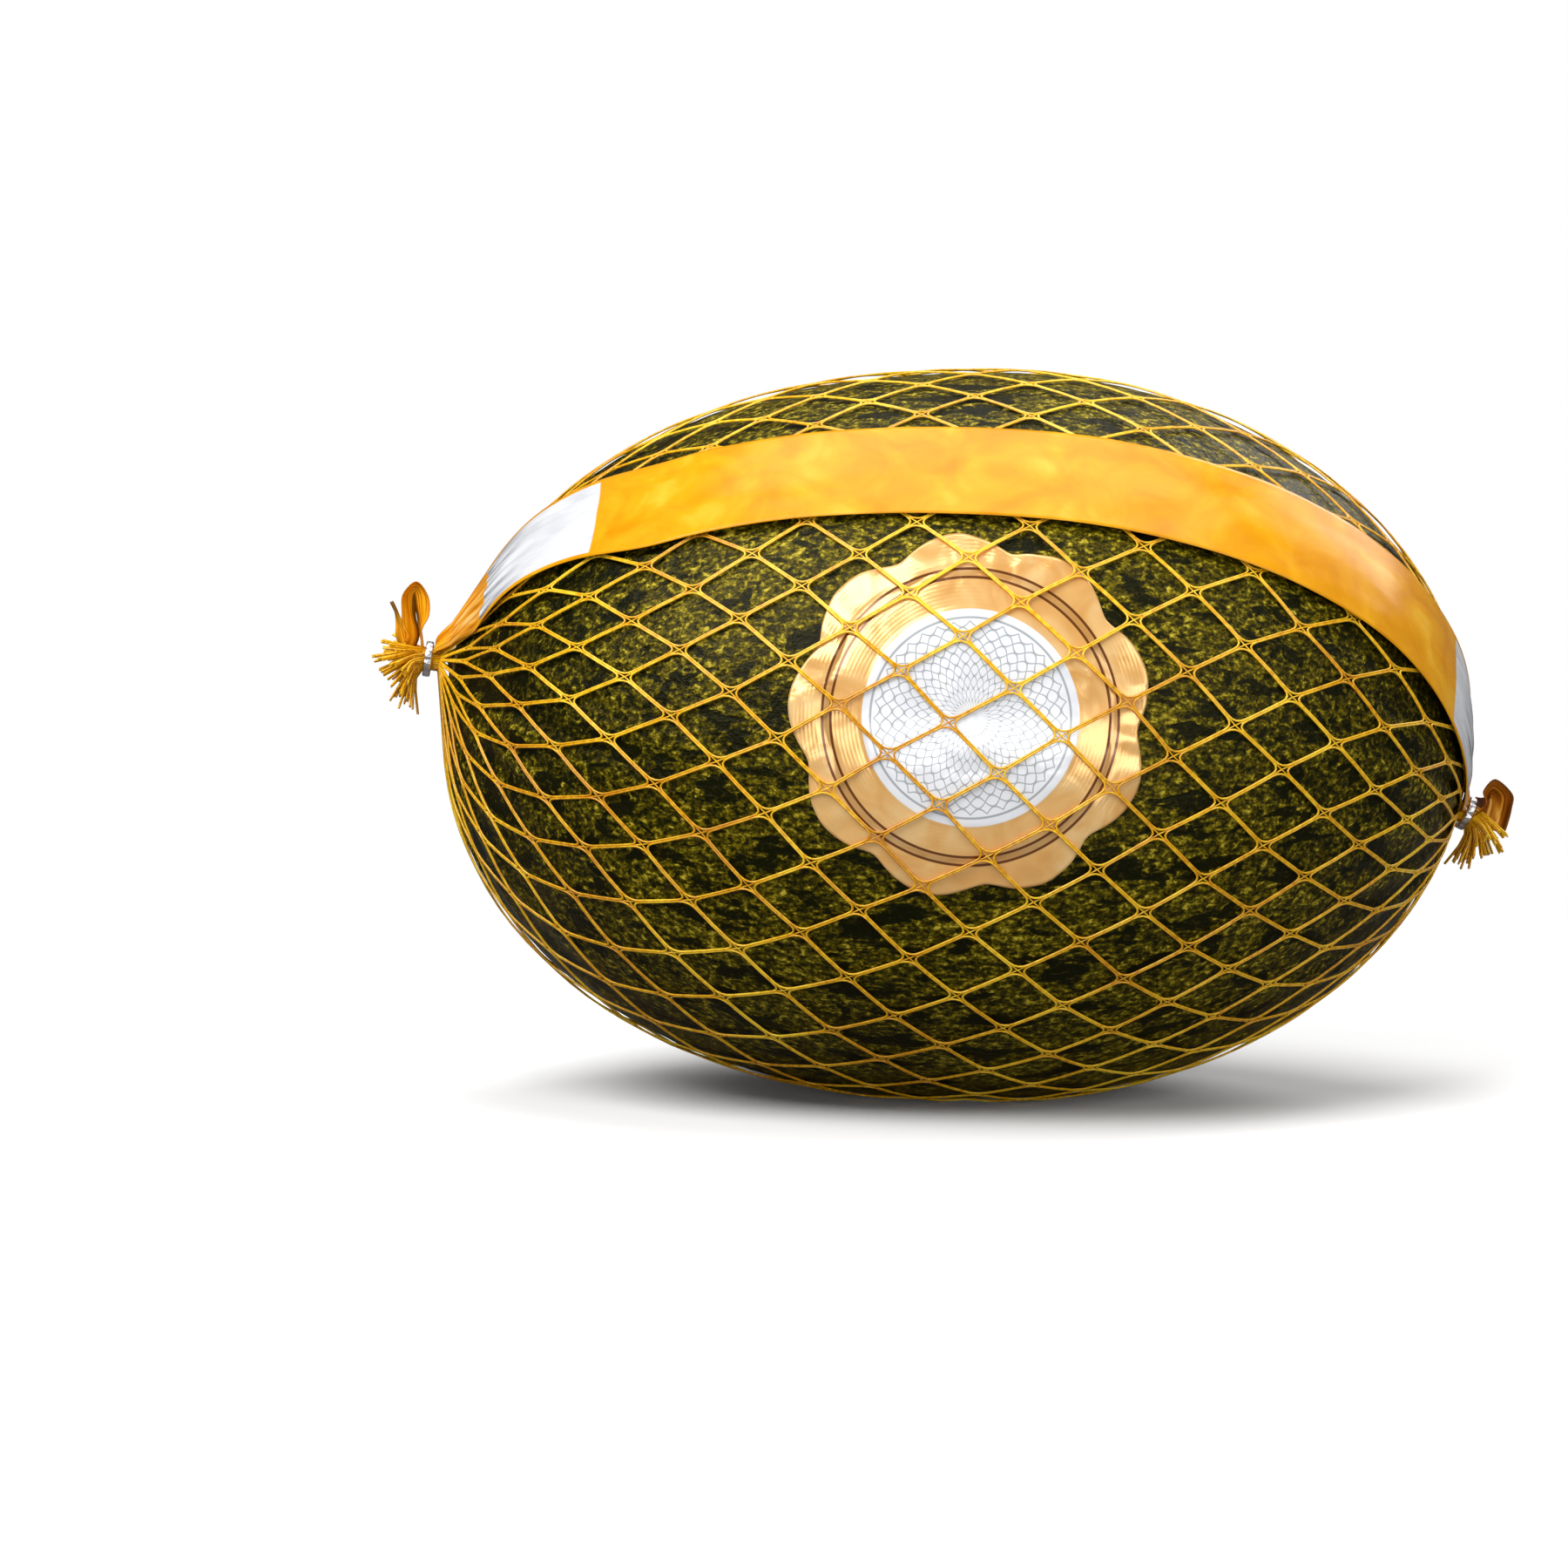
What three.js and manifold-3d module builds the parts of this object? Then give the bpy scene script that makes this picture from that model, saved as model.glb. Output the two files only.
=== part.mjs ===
// A piel de sapo melon in its net, lying on its side.
// One grown fruit, the plastic net drawn over it, a clip round the net's neck at each end,
// a foil seal stuck on the rind under the net, and a film band outside it.
// Millimetres, +Z up, +X to the fruit's sharper end, the seal on the -Y side.

import * as THREE from 'three';
import { mergeVertices } from 'three/addons/utils/BufferGeometryUtils.js';
import Module from 'manifold-3d';

// The fruit: its girth is nearer the sharper, right end
const LEFT_LENGTH = 127.3;
const RIGHT_LENGTH = 111.7;
const GIRTH_RADIUS = 85.2;
const GIRTH_STATION = 8.2;
const LEFT_FULLNESS = 2.31;
const RIGHT_FULLNESS = 2.0;
const FLAT_DEPTH = 1.5;

// The net's own axis runs slightly downhill and away from the seal, to the right
const AXIS_FALL = degrees(8.5);
const AXIS_YAW = degrees(3.3);

// The net: equal strands of a diamond mesh, gathered at each end
const CELLS_AROUND = 29;
const STRAND_LENGTH = 15.3;
const FIRST_ROW_SHIFT = 2.25;
const FIRST_COLUMN = degrees(-1);
const STRAND_WIDTH = 1.3;
const STRAND_HEIGHT = 0.85;
const STRAND_CLEARANCE = 0.4;
const FLATTENED_HEIGHT = 0.5;
const SMALLEST_ROW_RADIUS = 10;
const GATHER_RADIUS = 6.5;

// The neck where the strands run together, and the clip that crimps it
const NECK_RADIUS = 2.8;
const LEFT_TAUT_HEIGHT = 3.0;
const RIGHT_TAUT_HEIGHT = 1.6;
const TIP_RISE = 0.4;
const NECK_BASE = 1.6;
const NECK_END = 6.0;
const CLIP_START = 2.6;
const CLIP_THICKNESS = 1.8;
const CLIP_BORE = 4.1;
const CLIP_WALL = 1.5;

// The cut strands past each clip
const CUT_STRANDS = 15;
const CUT_LENGTH = 9;
const CUT_WIDTH = 1.2;
const CUT_ROOT = 0.6;
const LEFT_FALL = [degrees(-12), degrees(82)];
const RIGHT_FALL = [degrees(38), degrees(84)];
const CUT_FAN = degrees(62);
const GOLDEN_SHARE = 0.618;

// The foil seal, with waves round its rim
const SEAL_CENTRE = new THREE.Vector2(0.5, 9);
const SEAL_LOBES = 9;
const SEAL_RADIUS = 37.4;
const SEAL_WAVE = 2.0;
const SEAL_FIRST_LOBE = degrees(95);
const SEAL_THICKNESS = 0.5;
const SEAL_GAP = 0.35;

// The film band, from clip to clip over the upper front
const BAND_WIDTH = 27;
const BAND_THICKNESS = 0.6;
const BAND_HEIGHT_ROUND = degrees(46.5);
const BAND_LEFT_TURN = degrees(22);
const BAND_RIGHT_TURN = degrees(-5);
const BAND_END_SPREAD = degrees(40);
const BAND_STATIONS = 34;
const BAND_FIRST_STATION = degrees(4.2);
const TAIL_THICKNESS = 0.8;
const LEFT_TAIL_WIDTH = 6;
const LEFT_TAIL_TAPER = 3.5;
const RIGHT_TAIL_WIDTH = 7;
const RIGHT_TAIL_BELLY = 3;
const RIGHT_TAIL_TWIST = degrees(-45);

const GAP = 0.35;

const wasm = await Module();
wasm.setup();

function degrees(angle) {
  return angle * Math.PI / 180;
}

// The net's axis, and the directions towards the viewer and up that are square to it
const AXIS = new THREE.Vector3(
  Math.cos(AXIS_FALL) * Math.cos(AXIS_YAW),
  Math.cos(AXIS_FALL) * Math.sin(AXIS_YAW),
  -Math.sin(AXIS_FALL),
);
const FRONT = new THREE.Vector3(0, -1, 0).projectOnPlane(AXIS).normalize();
const UP = new THREE.Vector3().crossVectors(FRONT, AXIS);

// Direction at an angle from the left end of the axis, turned round it from the front
function direction(polar, turn) {
  return new THREE.Vector3()
    .addScaledVector(AXIS, -Math.cos(polar))
    .addScaledVector(FRONT, Math.sin(polar) * Math.cos(turn))
    .addScaledVector(UP, Math.sin(polar) * Math.sin(turn));
}

// Radius of the fruit's level outline at a distance from its girth
function outlineRadius(station) {
  const reach = station < 0 ? LEFT_LENGTH : RIGHT_LENGTH;
  const fullness = station < 0 ? LEFT_FULLNESS : RIGHT_FULLNESS;
  const share = Math.abs(station / reach);
  return share < 1 ? GIRTH_RADIUS * Math.sqrt(1 - share ** fullness) : -1;
}

// The rind, found along a direction by halving
function rind(way) {
  const across = Math.hypot(way.y, way.z);
  let inside = 0;
  let outside = 2 * LEFT_LENGTH;
  for (let step = 0; step < 40; step += 1) {
    const middle = (inside + outside) / 2;
    if (middle * across <= outlineRadius(middle * way.x - GIRTH_STATION)) inside = middle;
    else outside = middle;
  }
  return way.clone().multiplyScalar(inside);
}

function rindNormal(way) {
  const small = 0.002;
  const side = new THREE.Vector3(0.3, 0.5, 0.8).cross(way).normalize();
  const other = new THREE.Vector3().crossVectors(way, side);
  const point = (first, second) => rind(
    way.clone().addScaledVector(side, first).addScaledVector(other, second).normalize());
  const along = point(small, 0).sub(point(-small, 0));
  const round = point(0, small).sub(point(0, -small));
  return along.cross(round).normalize();
}

const RIND_FLOOR = -(GIRTH_RADIUS - FLAT_DEPTH);
const TABLE = RIND_FLOOR - STRAND_CLEARANCE - FLATTENED_HEIGHT;

// Where the taut net lifts off the rind: straight lines from each neck to the fruit
function neckFoot(end) {
  const polar = end < 0 ? 0 : Math.PI;
  const rise = end < 0 ? LEFT_TAUT_HEIGHT : RIGHT_TAUT_HEIGHT;
  return rind(direction(polar, 0)).dot(AXIS) * end + rise;
}

function tautGap(polar, turn) {
  const end = polar < Math.PI / 2 ? -1 : 1;
  const foot = neckFoot(end);
  const steps = 40;
  const reach = degrees(45);
  const leastRun = 2;
  const fromEnd = end < 0 ? polar : Math.PI - polar;
  if (fromEnd > reach) return 0;
  const sample = (angle) => {
    const point = rind(direction(end < 0 ? angle : Math.PI - angle, turn));
    const along = point.dot(AXIS) * end;
    return { along, out: Math.sqrt(Math.max(point.lengthSq() - along * along, 0)) };
  };
  let slope = -Infinity;
  let touch = 0;
  for (let step = 1; step <= steps; step += 1) {
    const { along, out } = sample(reach * step / steps);
    const here = (along - foot) / (out - NECK_RADIUS);
    if (out > NECK_RADIUS + leastRun && here > slope) {
      slope = here;
      touch = out;
    }
  }
  const { along, out } = sample(fromEnd);
  if (out > touch) return 0;
  return Math.max(foot + slope * (out - NECK_RADIUS) - along, 0);
}

// A point over the rind, never lower than the flattened underside allows
function over(polar, turn, height, taut = true) {
  const way = direction(polar, turn);
  const point = rind(way);
  const normal = rindNormal(way);
  if (point.z < RIND_FLOOR) {
    point.z = RIND_FLOOR;
    normal.set(0, 0, -1);
  }
  point.addScaledVector(normal, height);
  if (taut) point.addScaledVector(AXIS, (polar < Math.PI / 2 ? -1 : 1) * tautGap(polar, turn));
  return point;
}

// Rows of crossings: each strand keeps its length, so rows draw apart as the fruit narrows
function meanRadius(polar) {
  const samples = 12;
  let sum = 0;
  for (let index = 0; index < samples; index += 1) {
    sum += rind(direction(polar, index * 2 * Math.PI / samples)).length();
  }
  return sum / samples;
}

function nextRow(polar, sense) {
  const here = meanRadius(polar);
  let near = 0;
  let far = 0.5;
  for (let step = 0; step < 30; step += 1) {
    const middle = (near + far) / 2;
    const there = meanRadius(polar + sense * middle);
    const out = here * Math.sin(polar);
    const nextOut = there * Math.sin(polar + sense * middle);
    const along = there * Math.cos(polar + sense * middle) - here * Math.cos(polar);
    const halfCell = (out + nextOut) / 2 * Math.PI / CELLS_AROUND;
    if (Math.hypot(along, nextOut - out, halfCell) < STRAND_LENGTH) near = middle;
    else far = middle;
  }
  return polar + sense * near;
}

function rowsTowards(sense) {
  const rows = [];
  let polar = Math.PI / 2 + FIRST_ROW_SHIFT / GIRTH_RADIUS;
  const outOf = (angle) => meanRadius(angle) * Math.sin(angle);
  for (;;) {
    const next = nextRow(polar, sense);
    if (next <= 0 || next >= Math.PI || outOf(next) < SMALLEST_ROW_RADIUS) break;
    rows.push(next);
    polar = next;
  }
  const poleRadius = meanRadius(sense < 0 ? 0 : Math.PI);
  const gather = Math.asin(GATHER_RADIUS / poleRadius);
  rows.push(sense < 0 ? gather : Math.PI - gather);
  return rows;
}

const leftRows = rowsTowards(-1);
const rightRows = rowsTowards(1);
const ROWS = [...leftRows.reverse(), Math.PI / 2 + FIRST_ROW_SHIFT / GIRTH_RADIUS, ...rightRows];
const MIDDLE_ROW = leftRows.length;
const LAST_ROW = ROWS.length - 1;

function parity(row) {
  return Math.abs(row - MIDDLE_ROW) % 2;
}

function column(index) {
  return (index + CELLS_AROUND) % CELLS_AROUND;
}

function turnOf(row, index) {
  return FIRST_COLUMN + (index + parity(row) / 2) * 2 * Math.PI / CELLS_AROUND;
}

// The net rides over the seal, so crossings near it are lifted by the seal's thickness
function sealLift(point) {
  const away = Math.hypot(point.x - SEAL_CENTRE.x, point.z - SEAL_CENTRE.y);
  const cell = 2 * Math.PI * GIRTH_RADIUS / CELLS_AROUND;
  return point.y < 0 && away < SEAL_RADIUS + SEAL_WAVE + cell + 1 ? SEAL_THICKNESS + GAP : 0;
}

// A closed body from a list of points and triangles
function meshFrom(points, triangles) {
  const geometry = new THREE.BufferGeometry();
  geometry.setAttribute('position',
    new THREE.Float32BufferAttribute(points.flatMap((point) => point.toArray()), 3));
  geometry.setIndex(triangles.flat());
  return geometry;
}

function solidFrom(geometry) {
  const bare = geometry.clone();
  bare.deleteAttribute('normal');
  bare.deleteAttribute('uv');
  const merged = mergeVertices(bare, 1e-4);
  return new wasm.Manifold(new wasm.Mesh({
    numProp: 3,
    vertProperties: new Float32Array(merged.attributes.position.array),
    triVerts: new Uint32Array(merged.index.array),
  }));
}

function geometryFrom(solid) {
  const mesh = solid.getMesh();
  const geometry = new THREE.BufferGeometry();
  geometry.setAttribute('position', new THREE.BufferAttribute(mesh.vertProperties, 3));
  geometry.setIndex(new THREE.BufferAttribute(mesh.triVerts, 1));
  geometry.computeVertexNormals();
  return geometry;
}

// The rind as triangles between the net's crossings, set out from it by a height
function fruitGeometry(height) {
  const points = [];
  const triangles = [];
  const at = (row, index) => row * CELLS_AROUND + column(index);
  ROWS.forEach((polar, row) => {
    for (let index = 0; index < CELLS_AROUND; index += 1) {
      points.push(over(polar, turnOf(row, index), height, false));
    }
  });
  const leftEnd = points.push(over(0, 0, height, false)) - 1;
  const rightEnd = points.push(over(Math.PI, 0, height, false)) - 1;
  for (let row = 0; row <= LAST_ROW; row += 1) {
    for (let index = 0; index < CELLS_AROUND; index += 1) {
      const beyond = index + parity(row);
      const left = row > 0 ? at(row - 1, beyond) : leftEnd;
      const right = row < LAST_ROW ? at(row + 1, beyond) : rightEnd;
      triangles.push([at(row, index), at(row, index + 1), left]);
      triangles.push([at(row, index + 1), at(row, index), right]);
    }
  }
  return meshFrom(points, triangles);
}

// Corners of the cell between two neighbouring crossings of a row, in order round it
function cellCorners(row, index) {
  const beyond = index + parity(row);
  const corners = [[row, index]];
  if (row < LAST_ROW) corners.push([row + 1, beyond]);
  corners.push([row, index + 1]);
  if (row > 0) corners.push([row - 1, beyond]);
  return corners;
}

// Every strand is a ridge over the line between two crossings, with a flat back.
// Each cell has a hole, whose corners the four strands round it share.
function netSleeve() {
  const points = [];
  const triangles = [];
  const ridge = new Map();
  const back = new Map();
  const name = ([row, index]) => `${row} ${column(index)}`;
  ROWS.forEach((polar, row) => {
    for (let index = 0; index < CELLS_AROUND; index += 1) {
      const turn = turnOf(row, index);
      const lift = sealLift(over(polar, turn, 0)) + STRAND_CLEARANCE;
      ridge.set(name([row, index]), points.push(over(polar, turn, lift + STRAND_HEIGHT)) - 1);
      back.set(name([row, index]), over(polar, turn, lift));
    }
  });

  const strands = new Map();
  const corners = new Map([...ridge.keys()].map((key) => [key, new Map()]));
  for (let row = 0; row <= LAST_ROW; row += 1) {
    for (let index = 0; index < CELLS_AROUND; index += 1) {
      const names = cellCorners(row, index).map(name);
      const places = names.map((key) => back.get(key));
      const holes = holeCorners(places).map((point) => points.push(point) - 1);
      names.forEach((key, side) => {
        const next = (side + 1) % names.length;
        const from = ridge.get(key);
        const to = ridge.get(names[next]);
        triangles.push([from, to, holes[next]], [from, holes[next], holes[side]]);
        strands.set(`${key} ${names[next]}`, [holes[side], holes[next]]);
        const before = names[(side + names.length - 1) % names.length];
        corners.get(key).set(before, { hole: holes[side], next: names[next] });
      });
    }
  }

  const ends = [neck(points, ridge, -1), neck(points, ridge, 1)];
  for (const end of ends) triangles.push(...end.triangles);

  // The flat backs of the strands
  for (const [key, [start, finish]] of strands) {
    const [row, index, nextRowName, nextIndex] = key.split(' ');
    const opposite = strands.get(`${nextRowName} ${nextIndex} ${row} ${index}`);
    const end = Number(row) === 0 ? ends[0] : ends[1];
    if (!opposite) triangles.push([start, finish, end.under]);
    else if (key < `${nextRowName} ${nextIndex} ${row} ${index}`) {
      triangles.push([start, finish, opposite[0]], [start, opposite[0], opposite[1]]);
    }
  }

  // The flat backs of the crossings
  for (const [key, meeting] of corners) {
    const end = key.startsWith('0 ') ? ends[0] : ends[1];
    const round = ringOfHoles(meeting, end.under);
    for (let side = 1; side < round.length - 1; side += 1) {
      triangles.push([round[0], round[side], round[side + 1]]);
    }
  }
  return meshFrom(points, triangles);
}

// The hole of a cell, drawn in from its corners by half a strand
function holeCorners(places) {
  const centre = new THREE.Vector3();
  if (places.length === 4) {
    const level = places.map((place) => place.dot(AXIS));
    const spread02 = Math.abs(level[0] - level[2]);
    const spread13 = Math.abs(level[1] - level[3]);
    const [first, second] = spread02 < spread13 ? [0, 2] : [1, 3];
    centre.addVectors(places[first], places[second]).multiplyScalar(0.5);
  } else {
    places.forEach((place) => centre.addScaledVector(place, 1 / 3));
  }
  let area = 0;
  let rim = 0;
  places.forEach((place, side) => {
    const next = places[(side + 1) % places.length];
    area += place.clone().sub(centre).cross(next.clone().sub(centre)).length() / 2;
    rim += place.distanceTo(next);
  });
  const inradius = 2 * area / rim;
  const mostDrawnIn = 0.6;
  const share = Math.min(STRAND_WIDTH / 2 / inradius, mostDrawnIn);
  return places.map((place) => place.clone().lerp(centre, share));
}

// Holes round one crossing, seen from the fruit, with the neck's underside at an end
function ringOfHoles(meeting, under) {
  const ends = new Set([...meeting.values()].map((corner) => corner.next));
  let from = [...meeting.keys()].find((before) => !ends.has(before));
  const round = from === undefined ? [] : [under];
  if (from === undefined) from = meeting.keys().next().value;
  for (let count = 0; count < meeting.size; count += 1) {
    const corner = meeting.get(from);
    round.push(corner.hole);
    from = corner.next;
  }
  return round;
}

// The gathered neck: a cone from the last crossings to a round neck, closed at its end
function neck(points, ridge, end) {
  const row = end < 0 ? 0 : LAST_ROW;
  const triangles = [];
  const foot = neckFoot(end);
  const rings = [[NECK_RADIUS, NECK_BASE], [NECK_RADIUS, NECK_END]];
  const ringPoints = rings.map(([out, along]) => {
    const ring = [];
    for (let index = 0; index < CELLS_AROUND; index += 1) {
      ring.push(points.push(neckPoint(end, out, along, turnOf(row, index))) - 1);
    }
    return ring;
  });
  const first = [];
  for (let index = 0; index < CELLS_AROUND; index += 1) first.push(ridge.get(`${row} ${index}`));
  const levels = [first, ...ringPoints];
  const tip = points.push(AXIS.clone().multiplyScalar(end * (foot + NECK_END + TIP_RISE))) - 1;
  const under = points.push(AXIS.clone().multiplyScalar(end * (foot + STRAND_CLEARANCE))) - 1;
  for (let index = 0; index < CELLS_AROUND; index += 1) {
    const next = column(index + 1);
    for (let level = 0; level < levels.length - 1; level += 1) {
      const [low, high] = [levels[level], levels[level + 1]];
      triangles.push([low[index], low[next], high[next]], [low[index], high[next], high[index]]);
    }
    const top = levels[levels.length - 1];
    triangles.push([top[index], top[next], tip]);
  }
  if (end > 0) triangles.forEach((triangle) => triangle.reverse());
  return { triangles, under };
}

function neckPoint(end, out, along, turn) {
  return AXIS.clone().multiplyScalar(end * (neckFoot(end) + along))
    .addScaledVector(FRONT, out * Math.cos(turn))
    .addScaledVector(UP, out * Math.sin(turn));
}

// Cut ends of the strands, fanned out below the film's tail
function cutStrand(end, index) {
  const [highest, lowest] = end < 0 ? LEFT_FALL : RIGHT_FALL;
  const spread = ((index * GOLDEN_SHARE) % 1) * 2 - 1;
  const fall = highest + (lowest - highest) * (index + 0.5) / CUT_STRANDS;
  const heading = AXIS.clone().multiplyScalar(end * Math.cos(fall))
    .addScaledVector(UP, -Math.sin(fall))
    .multiplyScalar(Math.cos(spread * CUT_FAN))
    .addScaledVector(FRONT, Math.sin(spread * CUT_FAN));
  const root = neckPoint(end, 0, NECK_END - CUT_ROOT, 0)
    .addScaledVector(FRONT, spread * CUT_WIDTH)
    .addScaledVector(UP, -CUT_WIDTH * Math.sin(fall));
  const length = CUT_LENGTH * (1 + 0.3 * (((index * GOLDEN_SHARE * 3) % 1) - 0.5));
  const strand = new THREE.CylinderGeometry(CUT_WIDTH * 0.4, CUT_WIDTH * 0.6, length, 3, 1);
  strand.translate(0, length / 2, 0);
  strand.applyQuaternion(
    new THREE.Quaternion().setFromUnitVectors(new THREE.Vector3(0, 1, 0), heading));
  strand.translate(root.x, root.y, root.z);
  return solidFrom(strand);
}

function netGeometry() {
  let net = solidFrom(netSleeve());
  for (const end of [-1, 1]) {
    for (let index = 0; index < CUT_STRANDS; index += 1) net = net.add(cutStrand(end, index));
  }
  const table = new THREE.BoxGeometry(3 * LEFT_LENGTH, 3 * GIRTH_RADIUS, GIRTH_RADIUS);
  table.translate(0, 0, TABLE - GIRTH_RADIUS / 2);
  return geometryFrom(net.subtract(solidFrom(table)));
}

// The foil between two coats of the rind, cut to its waved outline
function sealGeometry() {
  const outer = solidFrom(fruitGeometry(SEAL_GAP + SEAL_THICKNESS));
  const inner = solidFrom(fruitGeometry(SEAL_GAP));
  const outline = new THREE.Shape();
  const steps = SEAL_LOBES * 8;
  for (let step = 0; step < steps; step += 1) {
    const turn = step * 2 * Math.PI / steps;
    const radius = SEAL_RADIUS + SEAL_WAVE * Math.cos(SEAL_LOBES * (turn - SEAL_FIRST_LOBE));
    const place = new THREE.Vector2(Math.cos(turn), Math.sin(turn)).multiplyScalar(radius);
    if (step === 0) outline.moveTo(place.x, place.y);
    else outline.lineTo(place.x, place.y);
  }
  const depth = 2 * GIRTH_RADIUS;
  const cutter = new THREE.ExtrudeGeometry(outline, { depth, bevelEnabled: false });
  cutter.rotateX(Math.PI / 2);
  cutter.translate(SEAL_CENTRE.x, 0, SEAL_CENTRE.y);
  return geometryFrom(outer.subtract(inner).intersect(solidFrom(cutter)));
}

// The film band: a run of cross-sections from the left tail over the fruit to the right flap
function bandTurn(polar) {
  const reach = degrees(40);
  const left = THREE.MathUtils.smoothstep(reach - polar, 0, reach);
  const right = THREE.MathUtils.smoothstep(reach - (Math.PI - polar), 0, reach);
  return BAND_HEIGHT_ROUND + BAND_LEFT_TURN * left + BAND_RIGHT_TURN * right;
}

function bandHeight(polar) {
  const fromEnd = Math.min(polar, Math.PI - polar);
  const overSeal = THREE.MathUtils.smoothstep(fromEnd, degrees(18), degrees(38));
  return STRAND_CLEARANCE + STRAND_HEIGHT + GAP + (SEAL_THICKNESS + GAP) * overSeal;
}

const ACROSS = [-1, -0.5, 0, 0.5, 1];

function bandOverFruit(polar) {
  const turn = bandTurn(polar);
  const point = rind(direction(polar, turn));
  const out = Math.sqrt(point.lengthSq() - point.dot(AXIS) ** 2);
  const spread = Math.min(BAND_END_SPREAD, BAND_WIDTH / 2 / out);
  const layer = (height) => ACROSS.map((side) => over(polar, turn + side * spread, height));
  return { inner: layer(bandHeight(polar)), outer: layer(bandHeight(polar) + BAND_THICKNESS) };
}

function bandAtNeck(end, out, along, lean) {
  const turn = bandTurn(end < 0 ? 0 : Math.PI);
  const half = BAND_THICKNESS / 2;
  const layer = (shift) => ACROSS.map((side) => neckPoint(end,
    out + shift * Math.cos(lean), along + shift * Math.sin(lean), turn + side * BAND_END_SPREAD));
  return { inner: layer(-half), outer: layer(half) };
}

// Sections of a tail: a strip along a path in the plane of the axis and up
function tailSections(end, path, width, twist) {
  const turn = bandTurn(end < 0 ? 0 : Math.PI);
  const place = ([along, up]) => AXIS.clone().multiplyScalar(end * (neckFoot(end) + along))
    .addScaledVector(UP, up)
    .addScaledVector(FRONT, Math.cos(turn) * (NECK_RADIUS + GAP));
  const curve = new THREE.CatmullRomCurve3(path.map(place), false, 'centripetal');
  const count = path.length * 2;
  const sections = [];
  for (let step = 0; step <= count; step += 1) {
    const share = step / count;
    const centre = curve.getPoint(share);
    const tangent = curve.getTangent(share);
    const side = FRONT.clone().negate().applyAxisAngle(tangent, twist * share ** 2);
    const normal = new THREE.Vector3().crossVectors(side, tangent).multiplyScalar(-end).normalize();
    const half = width(share) / 2;
    const layer = (shift) => ACROSS.map((across) => centre.clone()
      .addScaledVector(side, across * half)
      .addScaledVector(normal, shift));
    sections.push({ inner: layer(-TAIL_THICKNESS / 2), outer: layer(TAIL_THICKNESS / 2) });
  }
  return sections;
}

// Distances past the neck's foot and up from the axis: a loop with a pointed tail to the left,
// and a flap that curls over to the right
const LEFT_TAIL = [
  [6.6, 5.6], [5.4, 10], [4.6, 14.5], [5.4, 18.0], [7.2, 19.4], [9.0, 17.8], [9.1, 13.5],
  [8.3, 9.8], [8.1, 7.4], [9.4, 5.8], [10.9, 7.2], [11.6, 10], [12.5, 13.4], [13.4, 16.4],
];
const RIGHT_TAIL = [
  [6.8, 5.8], [7.0, 8.0], [8.5, 9.6], [10.2, 8.4], [10.7, 5.8], [10.6, 2.6], [10.2, -0.8],
];

function neckSections(end) {
  return [
    bandAtNeck(end, 5.4, 1.75, degrees(70)),
    bandAtNeck(end, 4.3, 2.05, degrees(60)),
    bandAtNeck(end, 3.6, 2.7, degrees(20)),
    bandAtNeck(end, 3.45, 3.5, 0),
    bandAtNeck(end, 3.45, 5.1, 0),
  ];
}

function bandGeometry() {
  const leftWidth = (share) => LEFT_TAIL_WIDTH - LEFT_TAIL_TAPER * share;
  const rightWidth = (share) => RIGHT_TAIL_WIDTH + RIGHT_TAIL_BELLY * Math.sin(share * Math.PI);
  const leftTail = tailSections(-1, LEFT_TAIL, leftWidth, 0);
  const rightTail = tailSections(1, RIGHT_TAIL, rightWidth, RIGHT_TAIL_TWIST);
  const first = BAND_FIRST_STATION;
  const middle = [];
  for (let step = 0; step <= BAND_STATIONS; step += 1) {
    middle.push(bandOverFruit(first + (Math.PI - 2 * first) * step / BAND_STATIONS));
  }
  const sections = [...leftTail.reverse(), ...neckSections(-1).reverse(), ...middle,
    ...neckSections(1), ...rightTail];
  const points = sections.flatMap(({ inner, outer }) => [...inner, ...outer.slice().reverse()]);
  const ring = 2 * ACROSS.length;
  const triangles = [];
  for (let section = 0; section < sections.length - 1; section += 1) {
    for (let side = 0; side < ring; side += 1) {
      const here = section * ring + side;
      const beside = section * ring + (side + 1) % ring;
      // Both faces are split along the same diagonal, so that they never cross
      if (side < ACROSS.length) {
        triangles.push([here, beside, beside + ring], [here, beside + ring, here + ring]);
      } else {
        triangles.push([here, beside, here + ring], [beside, beside + ring, here + ring]);
      }
    }
  }
  const last = (sections.length - 1) * ring;
  for (let side = 0; side < ACROSS.length - 1; side += 1) {
    const [low, high] = [side, side + 1];
    const [lowOuter, highOuter] = [ring - 1 - low, ring - 1 - high];
    triangles.push([high, low, lowOuter], [high, lowOuter, highOuter]);
    triangles.push([last + low, last + high, last + highOuter]);
    triangles.push([last + low, last + highOuter, last + lowOuter]);
  }
  return meshFrom(points, triangles);
}

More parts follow.
